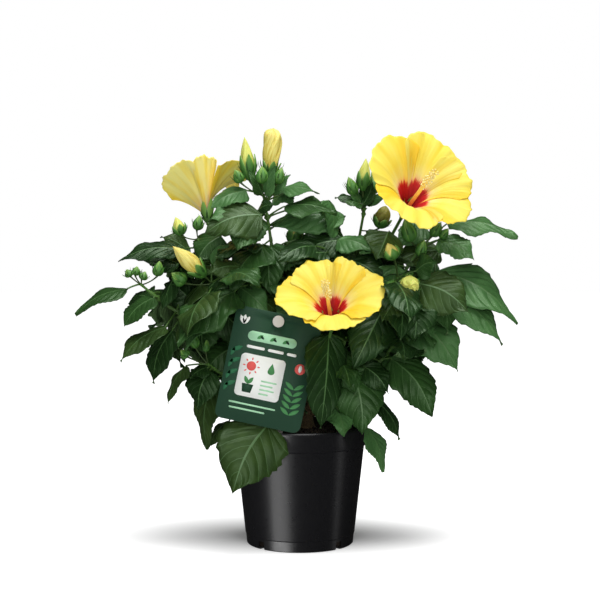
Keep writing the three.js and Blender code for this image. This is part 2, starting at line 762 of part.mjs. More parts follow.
function corolla(frame, { radius, depth, flare, turn }) {
  const [points, triangles] = [[], []];
  for (const skin of [0.6, -0.6]) {
    for (const reach of PETAL_ROWS) {
      const height = 1 - (1 - reach) ** flare - 0.08 * reach ** 4;
      for (let k = 0; k < PETAL_COLUMNS; k++) {
        const acrossPetal = (k % 4) / 1.5 - 1;
        const heading = radians(turn) + (2 * Math.PI * k) / PETAL_COLUMNS;
        const r = radius * reach * (1 - 0.13 * reach ** 3 * acrossPetal ** 2);
        const lift = depth * height + 3 * reach * acrossPetal + skin;
        points.push(new THREE.Vector3(r * Math.cos(heading), r * Math.sin(heading), lift).applyMatrix4(frame));
      }
    }
  }
  const rows = PETAL_ROWS.length;
  const at = (side, row, k) => (side * rows + row) * PETAL_COLUMNS + (k % PETAL_COLUMNS);
  const quad = (a, b, c, d) => triangles.push([a, b, c], [a, c, d]);
  for (let k = 0; k < PETAL_COLUMNS; k++) {
    for (let row = 0; row < rows - 1; row++) {
      quad(at(0, row, k), at(0, row + 1, k), at(0, row + 1, k + 1), at(0, row, k + 1));
      quad(at(1, row, k), at(1, row, k + 1), at(1, row + 1, k + 1), at(1, row + 1, k));
    }
    quad(at(0, rows - 1, k), at(1, rows - 1, k), at(1, rows - 1, k + 1), at(0, rows - 1, k + 1));
    quad(at(0, 0, k), at(0, 0, k + 1), at(1, 0, k + 1), at(1, 0, k));
  }
  return solid(points, triangles);
}

// The foot of a flower's column, and the place ahead of it along the flower's axis.
function bloomAhead({ throat, faces }, distance) {
  return along(vec(throat), vec(faces).normalize(), distance - THROAT_DEPTH);
}

// An open flower on its stalk: five petals, the long column of stamens, and the green cup behind.
function bloomSolid(name) {
  const bloom = BLOOMS[name];
  const ahead = (distance) => bloomAhead(bloom, distance);
  const spin = new THREE.Quaternion().setFromUnitVectors(UP, vec(bloom.faces).normalize());
  const frame = new THREE.Matrix4().compose(ahead(0), spin, new THREE.Vector3(1, 1, 1));
  return joined([
    corolla(frame, bloom),
    turned([[ahead(-1), 2], [ahead(COLUMN * 0.55), 1.6], [ahead(COLUMN * 0.7), 4.5], [ahead(COLUMN), 3.5]], ahead(COLUMN + 3), 6),
    turned([[ahead(-CALYX), 2.4], [ahead(-CALYX * 0.5), 6.2], [ahead(5), 5.4]], ahead(8), 8),
    limb(shootCurve(name), [SHOOT_R[0], 1.7], 5, 4),
  ]);
}

// The masses that show, and those of the far side, in one list.
function allMasses() {
  const masses = { ...MASSES };
  BACK_BOUGHS.forEach((bough, i) => {
    for (let k = 0; k < BACK.perBough; k++) {
      const order = i * BACK.perBough + k;
      const heading = radians(BACK.firstHeading + BACK.step * order);
      const high = BACK.low + BACK.rise * (order % 2);
      const reach = BACK.reach - 14 * (order % 2);
      const tip = [reach * Math.cos(heading), reach * Math.sin(heading), high];
      const bud = [tip[0] * 1.06, tip[1] * 1.06, high + 12];
      const budTip = [tip[0] * 1.1, tip[1] * 1.1, high + 28];
      masses[`foliage_back_${order + 1}`] = { bough, tip, shown: [], buds: [[bud, budTip, 6]], more: BACK.more };
    }
  });
  return masses;
}

// What each fork carries: the shoot of a mass to its tip, or a flower's stalk to its cup.
const masses = allMasses();
const growth = {};
for (const [name, { bough, tip }] of Object.entries(masses)) growth[name] = { bough, end: vec(tip) };
for (const [name, bloom] of Object.entries(BLOOMS)) growth[name] = { bough: bloom.bough, end: bloomAhead(bloom, -CALYX) };

// Build: the made things first, then the limbs, the flowers, the leaves that show and the rest.
const solids = {};
solids.pot = place("pot", potSolid());
solids.label = place("label", labelSolid());
solids.label_stick = place("label_stick", stickSolid());
solids.potting_soil = place("potting_soil", soilSolid().subtract(strip(GAP)));
solids.main_stem = place("main_stem", trunkSolid());
for (const name of Object.keys(BOUGHS)) {
  const arms = Object.keys(growth).filter((each) => growth[each].bough === name).map(arm);
  solids[name] = place(name, joined([limb(boughCurve(name), BOUGH_R, 5, 4), ...arms]));
}
for (const name of Object.keys(BLOOMS)) solids[name] = place(name, bloomSolid(name));

const shoots = {};
const stems = {};
for (const name of Object.keys(masses)) {
  shoots[name] = shootCurve(name);
  stems[name] = place(name, limb(shoots[name], SHOOT_R, 4, 4));
}
const shown = {};
for (const [name, mass] of Object.entries(masses)) {
  shown[name] = [
    ...mass.shown.map((leaf) => leafOn(name, shoots[name], listedPlaces(leaf), leaf[2], LISTED)),
    ...mass.buds.map(([foot, tip, radius]) => budOn(name, shoots[name], vec(foot), vec(tip), radius)),
  ];
}
Object.entries(masses).forEach(([name, mass], i) => {
  const more = moreLeaves(name, shoots[name], mass.more, 101 + 37 * i);
  solids[name] = joined([stems[name], ...shown[name], ...more].filter(Boolean));
});

const FINISH = [
  [/^pot$/, "pot"],
  [/^potting_soil$/, "soil"],
  [/^(main_stem|bough)/, "bark"],
  [/^foliage/, "leaf"],
  [/^bloom/, "petal"],
  [/^label_stick$/, "stick"],
  [/^label$/, "label"],
];

const plant = new THREE.Group();
for (const [name, made] of Object.entries(solids)) {
  const [color, roughness] = COLOURS[FINISH.find(([pattern]) => pattern.test(name))[1]];
  const mesh = new THREE.Mesh(geometryOf(made), new THREE.MeshStandardMaterial({ color, roughness, metalness: 0 }));
  mesh.name = name;
  plant.add(mesh);
}

export default plant;
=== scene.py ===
# %% [markdown]
# # A hibiscus in flower, in its nursery pot
#
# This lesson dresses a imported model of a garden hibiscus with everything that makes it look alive:
# toothed leaves with sunken veins, silky petals, buds in their green cups, bark, damp soil and a
# printed care card. The model is loaded first and is never moved. Each piece made here stands where
# the model says, in the same frame: millimetres in the tables, metres in Blender.

# %% The frame and the tools
import math

import bmesh
import bpy
import numpy as np
from mathutils import Matrix, Vector
from mathutils.kdtree import KDTree


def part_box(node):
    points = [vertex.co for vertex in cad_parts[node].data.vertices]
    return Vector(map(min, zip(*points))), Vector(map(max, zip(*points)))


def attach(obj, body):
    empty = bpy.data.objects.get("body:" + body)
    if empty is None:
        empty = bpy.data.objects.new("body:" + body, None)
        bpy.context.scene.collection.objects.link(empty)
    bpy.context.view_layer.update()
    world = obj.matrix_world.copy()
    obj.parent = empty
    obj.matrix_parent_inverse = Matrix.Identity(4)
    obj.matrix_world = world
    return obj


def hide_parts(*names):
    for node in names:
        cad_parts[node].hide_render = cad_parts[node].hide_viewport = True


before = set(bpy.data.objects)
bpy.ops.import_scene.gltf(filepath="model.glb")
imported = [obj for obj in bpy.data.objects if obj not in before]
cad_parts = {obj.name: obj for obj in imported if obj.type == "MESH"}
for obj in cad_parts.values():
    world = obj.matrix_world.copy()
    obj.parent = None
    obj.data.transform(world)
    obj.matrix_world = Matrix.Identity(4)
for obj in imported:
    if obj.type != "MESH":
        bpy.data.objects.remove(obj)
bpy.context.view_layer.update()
MM = 0.001
UP = Vector((0, 0, 1))

# %% [markdown]
# ## Where the picture is taken from
#
# The plant is seen from about three quarters of its height, from 1.35 m away with a long lens, as in
# a catalogue picture: a long lens keeps the pot's rim nearly flat and both sides of the crown at one
# scale. Depth of field stays off, because the whole plant is sharp.

# %% The camera
CAMERA_AT = Vector((0, -1350, 300))
CAMERA_DIP = 2.62
FOCAL_LENGTH = 82.9
SENSOR_WIDTH = 36

lens = bpy.data.cameras.new("camera")
lens.lens = FOCAL_LENGTH
lens.sensor_width = SENSOR_WIDTH
camera = bpy.data.objects.new("camera", lens)
camera.location = CAMERA_AT * MM
camera.rotation_euler = (math.radians(90 - CAMERA_DIP), 0, 0)
bpy.context.scene.collection.objects.link(camera)
bpy.context.scene.camera = camera
print("camera:", tuple(CAMERA_AT), "mm,", FOCAL_LENGTH, "mm lens")

# %% [markdown]
# ## Colours and nodes
#
# Colours are written as the eye reads them on a screen, as sRGB hex codes. A shader adds up light,
# so one function turns each code into linear light. Node trees are built with one more function,
# which adds a node, sets its values and links its sockets, so that a material reads as a short list.
# Patterns are given by the size of their grains in millimetres, which a third one turns into a scale.

# %% Helpers for every material
def paint(code):
    """The linear light of an sRGB hex code, with full alpha."""
    shares = [int(code[i:i + 2], 16) / 255 for i in (1, 3, 5)]
    return [s / 12.92 if s <= 0.04045 else ((s + 0.055) / 1.055) ** 2.4 for s in shares] + [1.0]


def scale_of(grain):
    """The scale of a pattern whose grains have a size in millimetres."""
    return 1 / (grain * MM)


def add(tree, kind, values=None, **links):
    """Adds a node, sets its sockets or settings by name, and links sockets into it."""
    made = tree.nodes.new("ShaderNode" + kind)
    for name, value in (values or {}).items():
        if name == "stops":
            elements = made.color_ramp.elements
            ends = (elements[0], elements[1])
            for end, (place, code) in zip(ends, (value[0], value[-1])):
                end.position, end.color = place, paint(code)
            for place, code in value[1:-1]:
                elements.new(place).color = paint(code)
        elif isinstance(value, bpy.types.NodeSocket):
            tree.links.new(value, made.inputs[name])
        elif isinstance(name, int) or name in made.inputs:
            made.inputs[name].default_value = value
        else:
            setattr(made, name, value)
    for name, socket in links.items():
        tree.links.new(socket, made.inputs[name.replace("_", " ")])
    return made


def material(name, code, roughness, **sockets):
    """A material of one colour, with its principled shader's other sockets set by name."""
    made = bpy.data.materials.new(name)
    made.use_nodes = True
    shader = made.node_tree.nodes["Principled BSDF"]
    shader.inputs["Base Color"].default_value = paint(code)
    shader.inputs["Roughness"].default_value = roughness
    for socket, value in sockets.items():
        shader.inputs[socket.replace("_", " ")].default_value = value
    return made


def into_shader(made, **links):
    """Links sockets into a material's principled shader."""
    shader = made.node_tree.nodes["Principled BSDF"]
    for name, socket in links.items():
        made.node_tree.links.new(socket, shader.inputs[name.replace("_", " ")])


def grained(name, code, roughness, grain, detail, relief, stops=None, crumble=0.5, **sockets):
    """A finish with one grain of a size in millimetres, which its relief and any colour stops follow."""
    made = material(name, code, roughness, **sockets)
    tree = made.node_tree
    place = add(tree, "TexCoord").outputs["Object"]
    noise = {"Scale": scale_of(grain), "Detail": detail, "Roughness": crumble}
    level = add(tree, "TexNoise", noise, Vector=place).outputs["Fac"]
    strength, depth = relief
    bump = add(tree, "Bump", {"Strength": strength, "Distance": depth * MM}, Height=level)
    into_shader(made, Normal=bump.outputs["Normal"])
    if stops:
        tone = add(tree, "ValToRGB", {"stops": stops}, Fac=level)
        into_shader(made, Base_Color=tone.outputs["Color"])
    return made


print("mid grey on the screen is", round(paint("#808080")[0], 3), "in linear light")

# %% [markdown]
# ## A white studio
#
# The picture is lit like most catalogue pictures: large soft boxes in front and above, and a pale
# floor that fades into a white background. Black satin plastic shows little but reflections, so the
# pot has two boxes of its own, a wide one low at the left and a narrow one low at the right. They
# light nothing else, and it mirrors them as soft upright streaks between dark flanks. Reflections
# leave the floor out, because it would hide those low boxes. Floor and background are bright where
# the camera sees them and give the plant only a little light, as when both stand far behind it. So
# the inside of the crown stays deep.

# %% Floor and white room
FLOOR_HALF = 6.0
FLOOR_DROP = 0.0003
# The near and far reach, in metres, of the painted soft shadow on the floor round the pot.
POT_SHADE = (0.06, 0.22)

floor_mesh = bpy.data.meshes.new("studio_floor")
floor_plan = ((-1, -1), (1, -1), (1, 1), (-1, 1))
floor_corners = [(x * FLOOR_HALF, y * FLOOR_HALF, -FLOOR_DROP) for x, y in floor_plan]
floor_mesh.from_pydata(floor_corners, [], [(0, 1, 2, 3)])
studio_floor = bpy.data.objects.new("studio_floor", floor_mesh)
bpy.context.scene.collection.objects.link(studio_floor)


def dimmed(tree, other, mirrored):
    """The strength of a bright backdrop: full for the camera, less for other light, least in reflections."""
    path = add(tree, "LightPath").outputs
    seen = add(tree, "MapRange", {"To Min": other, "To Max": 1.0}, Value=path["Is Camera Ray"])
    flags = add(tree, "MapRange", {"To Min": 1.0, "To Max": mirrored}, Value=path["Is Glossy Ray"])
    both = {"operation": "MULTIPLY", 0: seen.outputs[0], 1: flags.outputs[0]}
    return add(tree, "Math", both).outputs[0]


# Opal acrylic lit from below, as on a light table, glows evenly; close to the pot its glow is
# turned down, a painted soft shadow in which the pot stands.
opal_acrylic = material("opal_acrylic_light_table", "#dcdcdc", 0.6, Emission_Color=paint("#ffffff"))
tree = opal_acrylic.node_tree
place = add(tree, "TexCoord").outputs["Object"]
band = add(tree, "Mapping", {"Location": (0, -0.06, 0), "Scale": (1, 2.1, 1)}, Vector=place).outputs["Vector"]
away = add(tree, "VectorMath", {"operation": "LENGTH"}, Vector=band).outputs["Value"]
painted_shadow_fade = {"From Min": POT_SHADE[0], "From Max": POT_SHADE[1], "To Min": 0.1, "To Max": 1.0}
lit = add(tree, "MapRange", painted_shadow_fade, Value=away).outputs[0]
strength = dimmed(tree, other=0.22, mirrored=0.1)
glow = add(tree, "Math", {"operation": "MULTIPLY", 0: lit, 1: strength}).outputs[0]
into_shader(opal_acrylic, Emission_Strength=glow)
floor_mesh.materials.append(opal_acrylic)
studio_floor.visible_glossy = False

world = bpy.data.worlds.new("white_room")
world.use_nodes = True
sky = world.node_tree.nodes["Background"]
sky.inputs["Color"].default_value = paint("#ffffff")
world.node_tree.links.new(dimmed(world.node_tree, other=0.18, mirrored=0.1), sky.inputs["Strength"])
bpy.context.scene.world = world
bpy.context.scene.view_settings.view_transform = "Standard"
print("studio: floor of", 2 * FLOOR_HALF, "m and white room")


# %% Soft boxes
def soft_box(name, place, aim, width, height, power):
    """A rectangular lamp at a place in millimetres, turned towards its aim."""
    lamp = bpy.data.lights.new(name, "AREA")
    lamp.shape = "RECTANGLE"
    lamp.size, lamp.size_y = width * MM, height * MM
    lamp.energy = power
    made = bpy.data.objects.new(name, lamp)
    made.location = Vector(place) * MM
    made.rotation_euler = (Vector(aim) - Vector(place)).to_track_quat("-Z", "Y").to_euler()
    bpy.context.scene.collection.objects.link(made)
    return made


CROWN_MIDDLE = (0, 0, 230)
POT_MIDDLE = (0, 0, 58)
pot_lamps = [soft_box("low_box_left", (-880, -1020, -440), POT_MIDDLE, 900, 640, 11.5),
             soft_box("low_box_right", (1337, -190, -440), POT_MIDDLE, 200, 640, 0.4)]
soft_box("front", (150, -1600, 700), CROWN_MIDDLE, 1300, 900, 11.5)
soft_box("top", (150, -250, 1500), CROWN_MIDDLE, 900, 900, 21)
print("soft boxes: two for the pot alone, two for all")

# %% [markdown]
# ## The plant's own sizes
#
# The tables hold the same named sizes as the model's source, in millimetres: where each bough sets
# off on the trunk and where it forks, where each flower stands and which way it faces, and the
# leaves and buds that make the crown's outline. Five of these leaves and one bud have their foot 5
# to 23 mm aside, where they would hide a bud or leave a gap.
#
# A petal is given by its heading round the flower, half the angle that it fans over, its length,
# its slant at the rim, its rank in the overlap and how much one side is steeper than the other.
# The opening is the slant that petals start with, and how much it changes round the flower. A
# flower's lift moves all of it, its sink only the throat, and its column has a length and a lean.
#
# A leaf is given by its blade's foot and tip, its width, and its width as seen from the front,
# which tells how far it turns away. A bud is given by its foot, its tip, its radius and how far it
# has come.

# %% Boughs and flowers
BOUGHS = {
    "bough_left": (134, (-70, -18, 205)),
    "bough_left_low": (124, (-38, -34, 158)),
    "bough_left_top": (146, (-60, 8, 240)),
    "bough_top": (152, (-22, -12, 245)),
    "bough_right_top": (148, (48, 12, 244)),
    "bough_right": (138, (67, -28, 208)),
    "bough_right_low": (124, (52, -26, 160)),
    "bough_front": (130, (22, -42, 178)),
    "bough_back_right": (132, (44, 44, 196)),
    "bough_back": (142, (0, 58, 226)),
    "bough_back_left": (130, (-46, 42, 196)),
}
BLOOMS = {
    "bloom_right": {
        "bough": "bough_right_top", "throat": (104, -45, 342), "faces": (0.36, -0.76, 0.54), "radius": 57,
        "lift": (0, 0, 0), "sink": (2, 0, -10), "column": (46, (6.5, 0, -3)), "opening": (24, 0),
        "petals": [(32, 34, 70, 84, 3, 0), (74, 45, 72, 84, 2, 0), (154, 56, 67, 84, 1, 0),
                   (262, 54, 68, 86, 0, 0), (342, 43, 70, 86, 1, 0)],
    },
    "bloom_front": {
        "bough": "bough_front", "throat": (28, -90, 240), "faces": (-0.03, -0.62, 0.78), "radius": 51,
        "lift": (0, 0, 0), "sink": (0, 0, -8), "column": (38, (-5, -4, -4)), "opening": (24, 0),
        "petals": [(62, 33, 57, 86, 3, 0), (116, 44, 58, 86, 2, 0), (196, 54, 62, 88, 1, 0),
                   (275, 46, 62, 92, 2, 0), (352, 56, 62, 86, 0, 0)],
    },
    "bloom_left": {
        "bough": "bough_left_top", "throat": (-87, 34, 328), "faces": (-0.05, 0.38, 0.92), "radius": 55,
        "lift": (-6, 0, 8), "sink": (0, 0, 0), "column": (34, (0, 0, 0)), "opening": (18, 16),
        "petals": [(206, 44, 60, 66, 1, 10), (276, 38, 60, 40, 3, 0), (338, 46, 68, 92, 2, 0),
                   (25, 42, 80, 185, 1, 0), (122, 44, 60, 66, 0, 0)],
    },
}

print("tables:", len(BOUGHS), "boughs and", len(BLOOMS), "flowers")


# %% Leaves and buds of the outline
def mass(bough, tip, more, shown=(), buds=()):
    """A mass of leaves: its bough, its shoot's tip, how many leaves the rule adds, and those listed."""
    return {"bough": bough, "tip": tip, "more": more, "shown": shown, "buds": buds}


MASSES = {
    "foliage_left_low": mass("bough_left", (-152, -34, 255), 4, shown=[
        ((-163, -45, 251), (-210, -60, 227), 28, 12), ((-138, -45, 243), (-165, -58, 216), 30, 17),
        ((-127, -45, 215), (-167, -68, 184), 28, 15), ((-122, -32, 211), (-139, -45, 161), 34, 22),
    ], buds=[
        ((-161, -36, 262), (-165, -38, 269), 4, "green"),
        ((-157, -34, 263), (-155, -35, 272), 4, "green"),
        ((-151, -34, 259), (-147, -34, 267), 4, "green"),
        ((-137, -28, 262), (-134, -30, 277), 5, "green"),
    ]),
    "foliage_left_bottom": mass("bough_left_low", (-87, -52, 180), 3, shown=[
        ((-107, -55, 179), (-123, -70, 145), 22, 10), ((-86, -64, 178), (-102, -76, 169), 18, 10),
        ((-85, -60, 175), (-95, -66, 139), 28, 24), ((-82, -36, 164), (-88, -46, 98), 30, 20),
        ((-68, -24, 123), (-87, -30, 98), 18, 10), ((-29, -60, 125), (-62, -88, 64), 54, 52),
    ], buds=[
        ((-105, -56, 187), (-112, -58, 194), 4.5, "green"),
        ((-98, -52, 195), (-102, -54, 211), 4.5, "green"), ((-89, -48, 191), (-88, -48, 203), 3, "green"),
    ]),
    "foliage_left_upper": mass("bough_left_top", (-99, -12, 298), 4, shown=[
        ((-116, -2, 288), (-176, -12, 276), 26, 16), ((-108, 8, 283), (-137, 0, 300), 24, 17),
        ((-116, 12, 271), (-160, 22, 279), 26, 18), ((-106, -18, 239), (-130, -24, 255), 26, 22),
        ((-76, -15, 301), (-99, -27, 276), 30, 25),
    ], buds=[
        ((-114, -15, 301), (-120, -16, 319), 6.5, "swelling"),
        ((-100, -10, 306), (-97, -10, 321), 5, "green"),
    ]),
    "foliage_left_front": mass("bough_left", (-84, -40, 256), 5, shown=[
        ((-91, -34, 222), (-91, -46, 189), 34, 28), ((-57, -45, 272), (-84, -58, 266), 22, 17),
        ((-84, -44, 274), (-66, -48, 293), 14, 11),
    ], buds=[
        ((-89, -45, 262), (-119, -56, 291), 9, "opening"),
        ((-108, -46, 256), (-121, -50, 266), 6.5, "green"),
    ]),
    "foliage_top": mass("bough_top", (-35, -22, 340), 1, shown=[
        ((-51, -30, 344), (-84, -45, 327), 26, 17), ((-39, -34, 323), (-86, -56, 315), 30, 22),
        ((-41, -38, 319), (-58, -66, 287), 32, 28), ((-40, -40, 325), (-24, -50, 330), 14, 11),
        ((-18, -15, 347), (19, -25, 341), 24, 12), ((-10, -8, 344), (-26, -14, 331), 24, 16),
        ((-15, -24, 329), (35, -36, 322), 34, 17), ((28, -12, 335), (31, -26, 297), 30, 16),
    ], buds=[
        ((-30, -20, 352), (-24, -18, 404), 10, "furled"),
        ((-48, -24, 353), (-53, -26, 395), 7.5, "swelling"),
        ((-36, -34, 350), (-36, -36, 367), 6, "green"), ((-22, -30, 350), (-17, -32, 366), 5, "green"),
        ((-56, -30, 351), (-62, -32, 364), 5, "green"),
    ]),
    "foliage_centre_left": mass("bough_top", (-46, -42, 262), 7, shown=[
        ((-61, -58, 249), (-111, -102, 201), 44, 30), ((-58, -34, 252), (-30, -52, 228), 26, 22),
        ((-6, -24, 289), (-30, -36, 267), 30, 24),
    ]),
    "foliage_centre_back": mass("bough_top", (-8, 24, 294), 6, shown=[
        ((25, 20, 323), (-31, 36, 311), 28, 15), ((3, 12, 317), (33, 16, 315), 18, 9),
    ], buds=[
        ((-8, 10, 292), (-1, 12, 314), 8, "tipped"),
    ]),
    "foliage_centre_right": mass("bough_right_top", (63, 0, 328), 3, shown=[
        ((60, -6, 331), (43, -14, 333), 12, 7), ((65, -4, 332), (83, -14, 337), 12, 8),
        ((52, 4, 337), (34, 4, 338), 13, 8),
    ], buds=[
        ((53, -4, 340), (47, -6, 358), 5.5, "green"), ((61, -2, 344), (64, -4, 376), 7, "swelling"),
        ((68, 2, 341), (73, 2, 360), 7, "green"), ((77, 4, 308), (84, 0, 330), 8.5, "spent"),
    ]),
    "foliage_centre_front": mass("bough_right_top", (34, -26, 284), 7, shown=[
        ((36, -26, 297), (67, -44, 287), 28, 18), ((25, -38, 285), (-9, -60, 276), 28, 20),
        ((47, -36, 278), (78, -52, 256), 30, 24),
    ]),
    "foliage_right_top": mass("bough_right", (116, -24, 290), 4, shown=[
        ((132, -28, 297), (165, -42, 278), 28, 20), ((143, -10, 313), (208, -30, 299), 30, 15),
    ], buds=[
        ((106, -34, 295), (99, -42, 317), 7, "green"), ((126, -26, 300), (135, -28, 314), 5, "green"),
        ((134, -26, 298), (142, -28, 308), 4, "green"), ((113, -34, 281), (118, -40, 297), 5, "green"),
    ]),
    "foliage_right_mid": mass("bough_right", (92, -56, 262), 4, shown=[
        ((104, -70, 237), (105, -90, 206), 34, 31), ((89, -70, 243), (75, -90, 223), 26, 22),
        ((110, -64, 257), (156, -78, 230), 40, 34), ((108, -60, 268), (126, -70, 277), 22, 18),
        ((83, -52, 305), (71, -68, 279), 32, 30),
    ], buds=[
        ((88, -64, 279), (81, -70, 294), 7.5, "tipped"), ((100, -72, 256), (101, -91, 255), 9.4, "ball"),
        ((86, -66, 254), (83, -76, 255), 5, "green"),
    ]),
    "foliage_right_out": mass("bough_right", (128, -22, 254), 4, shown=[
        ((132, -18, 267), (207, -38, 217), 48, 33), ((135, -28, 248), (191, -50, 198), 36, 24),
        ((100, -36, 226), (148, -60, 174), 44, 36),
    ]),
    "foliage_right_low": mass("bough_right_low", (90, -26, 196), 6, shown=[
        ((60, -50, 178), (83, -60, 153), 24, 20), ((84, -18, 199), (103, -28, 162), 34, 30),
        ((87, -31, 184), (125, -50, 130), 38, 32), ((72, -30, 144), (95, -36, 106), 24, 12),
        ((64, -38, 118), (79, -44, 76), 26, 14),
    ]),
    "foliage_front": mass("bough_front", (44, -54, 206), 5, shown=[
        ((27, -70, 210), (19, -86, 124), 40, 30), ((47, -50, 177), (58, -70, 116), 42, 38),
        ((35, -58, 138), (41, -80, 116), 20, 17), ((8, -26, 190), (0, -44, 142), 30, 26),
        ((52, -12, 212), (70, -28, 168), 34, 30),
    ]),
    "foliage_inner_left": mass("bough_left_low", (-54, -42, 212), 6, shown=[
        ((-62, -30, 228), (-98, -36, 198), 40, 34), ((-60, -30, 196), (-92, -32, 168), 38, 30),
        ((-46, -30, 182), (-64, -36, 136), 36, 30),
    ]),
    "foliage_inner_right": mass("bough_right_low", (66, 8, 198), 6, shown=[
        ((42, -8, 200), (38, -34, 152), 38, 32), ((66, -2, 190), (76, -20, 146), 36, 30),
        ((60, -14, 222), (66, -30, 182), 36, 30),
    ]),
    "foliage_inner_front": mass("bough_front", (2, -30, 226), 6, shown=[
        ((22, -30, 200), (24, -48, 150), 36, 30), ((4, -38, 244), (-18, -50, 214), 30, 26),
    ]),
}

listed = [sum(len(row[kind]) for row in MASSES.values()) for kind in ("shown", "buds")]
print("tables:", listed[0], "leaves and", listed[1], "buds")

# %% The masses of the far side
BACK_BOUGHS = ("bough_back_right", "bough_back", "bough_back_left")
BACK = {"per_bough": 2, "first_heading": 12, "step": 31, "reach": 132, "nearer": 14, "low": 208, "rise": 44,
        "more": 10, "bud_foot": (1.06, 12), "bud_tip": (1.1, 28), "bud_radius": 6}

for order in range(len(BACK_BOUGHS) * BACK["per_bough"]):
    heading = math.radians(BACK["first_heading"] + BACK["step"] * order)
    high = BACK["low"] + BACK["rise"] * (order % 2)
    reach = BACK["reach"] - BACK["nearer"] * (order % 2)
    x, y = reach * math.cos(heading), reach * math.sin(heading)
    foot, tip = ((x * out, y * out, high + up) for out, up in (BACK["bud_foot"], BACK["bud_tip"]))
    bough = BACK_BOUGHS[order // BACK["per_bough"]]
    MASSES[f"foliage_back_{order + 1}"] = mass(bough, (x, y, high), BACK["more"],
                                               buds=[(foot, tip, BACK["bud_radius"], "green")])
print("plant:", len(BOUGHS), "boughs,", len(BLOOMS), "flowers,", len(MASSES), "masses of leaves")

# %% [markdown]
# ## Many small shapes in one mesh
#
# A plant has hundreds of leaves. As objects of their own they would be slow to draw and hard to
# hand on, so each kind is gathered in a pile: points and faces are added by small functions, and the
# pile becomes one mesh with a material slot for each finish. Every shape is a grid of points, and
# the grid's points that fall together, as at a tip, are merged at the end.

# %% Grids, tubes and piles
def grid(rows, columns, closed=False):
    """The quads of a grid of points listed row by row; a closed grid runs round to its start."""
    row = np.arange(rows - 1)[:, None] * columns
    column = np.arange(columns if closed else columns - 1)[None, :]
    after = (column + 1) % columns
    corners = (row + column, row + after, row + columns + after, row + columns + column)
    return np.stack(corners, -1).reshape(-1, 4)


ASLANT = (0.3, 1, 0.2)


def unit(way):
    return way / np.linalg.norm(way)


def around(side, other, turn):
    """The way at a turn from one way towards another, or a grid of ways for a grid of turns."""
    turn = np.asarray(turn)[..., None]
    return np.cos(turn) * side + np.sin(turn) * other


def tube(path, radii, sides=8, relief=None):
    """Rings round a path, closed to a point at both ends, as points and quads."""
    path = np.array([tuple(p) for p in path])
    ways = np.gradient(path, axis=0)
    ways /= np.linalg.norm(ways, axis=1)[:, None]
    radii = np.broadcast_to(radii, len(path))
    swell = np.ones((len(path), sides)) if relief is None else relief
    turn = np.arange(sides) * 2 * math.pi / sides
    normal = np.cross(ways[0], ASLANT)
    rings = [np.repeat(path[:1], sides, 0)]
    for point, way, radius, bulge in zip(path, ways, radii, swell):
        normal = unit(normal - way * normal.dot(way))
        rings.append(point + around(normal, np.cross(way, normal), turn) * (radius * bulge)[:, None])
    rings.append(np.repeat(path[-1:], sides, 0))
    return np.concatenate(rings), grid(len(rings), sides, closed=True)


class Pile:
    """Small shapes in millimetres, gathered into one mesh. Marks and lanes are numbers for a finish."""

    def __init__(self, name, finishes):
        self.name, self.finishes = name, finishes
        self.points, self.faces, self.slots, self.marks, self.lanes, self.size = [], [], [], [], [], 0

    def put(self, points, faces, slot=0, mark=0.0, lane=0.0):
        self.points.append(np.asarray(points, float))
        self.faces.append(np.asarray(faces) + self.size)
        self.slots.append(np.broadcast_to(slot, len(faces)))
        self.marks.append(np.broadcast_to(mark, len(points)))
        self.lanes.append(np.broadcast_to(lane, len(points)))
        self.size += len(points)

    def make(self, replaced=()):
        """The finished object, riding with the plant and standing for the model's nodes."""
        mesh = bpy.data.meshes.new(self.name)
        faces = [face for batch in self.faces for face in batch.tolist()]
        mesh.from_pydata((np.concatenate(self.points) * MM).tolist(), [], faces)
        mesh.polygons.foreach_set("material_index", np.concatenate(self.slots).astype(np.int32))
        mesh.polygons.foreach_set("use_smooth", np.ones(len(faces), bool))
        for name, values in (("mark", self.marks), ("lane", self.lanes)):
            mesh.attributes.new(name, "FLOAT", "POINT").data.foreach_set("value", np.concatenate(values))
        shape = bmesh.new()
        shape.from_mesh(mesh)
        bmesh.ops.remove_doubles(shape, verts=shape.verts, dist=0.004 * MM)
        shape.to_mesh(mesh)
        shape.free()
        for finish in self.finishes:
            mesh.materials.append(finish)
        made = bpy.data.objects.new(self.name, mesh)
        bpy.context.scene.collection.objects.link(made)
        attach(made, "root")
        if replaced:
            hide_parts(*replaced)
        return made


print("a tube of 3 rings of 8 points has", len(tube([(0, 0, k) for k in range(3)], 1)[1]), "quads")

# %% [markdown]
# ## How the plant grows
#
# The trunk forks into boughs, each bough carries a shoot for every mass of leaves, and each leaf
# stands on its stalk. The tables above give the boughs' forks and the leaves that make the outline.
# The other leaves follow a rule with a seeded stream of numbers. A leaf that the rule offers is
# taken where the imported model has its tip, so both plants have the same leaves.

# %% Curves of the boughs and shoots
TRUNK_FOOT = Vector((6, -4, 113.3))
TRUNK_FORK = Vector((8, -3, 152))
TRUNK_R = {"flare": 10, "low": 6.8, "high": 5.2}
BOUGH_R = (3, 2.2)
SHOOT_R = (1.7, 1.2)
STUB = 13
ARM = 10
SPREAD = 1.7
GAP = 0.3
CALYX = 18
THROAT_DEPTH = 6
PULL = 0.45
BEND_STEPS = 200


def bent(start, control, end, t):
    """The point at a share of a curve that leans towards its control point."""
    return start * (1 - t) ** 2 + control * (2 * t * (1 - t)) + end * t ** 2


class Bend:
    """A curve that leaves its start along a given way and bends to its end."""

    def __init__(self, start, way, end):
        self.ends = (start, start + way * ((end - start).length * PULL), end)
        self.shares = np.arange(BEND_STEPS + 1) / BEND_STEPS
        places = [bent(*self.ends, share) for share in self.shares]
        steps = [(b - a).length for a, b in zip(places, places[1:])]
        self.lengths = np.concatenate([[0], np.cumsum(steps)])
        self.length = float(self.lengths[-1])

    def at(self, share):
        """The point at a share of the curve's length."""
        return bent(*self.ends, np.interp(share * self.length, self.lengths, self.shares))


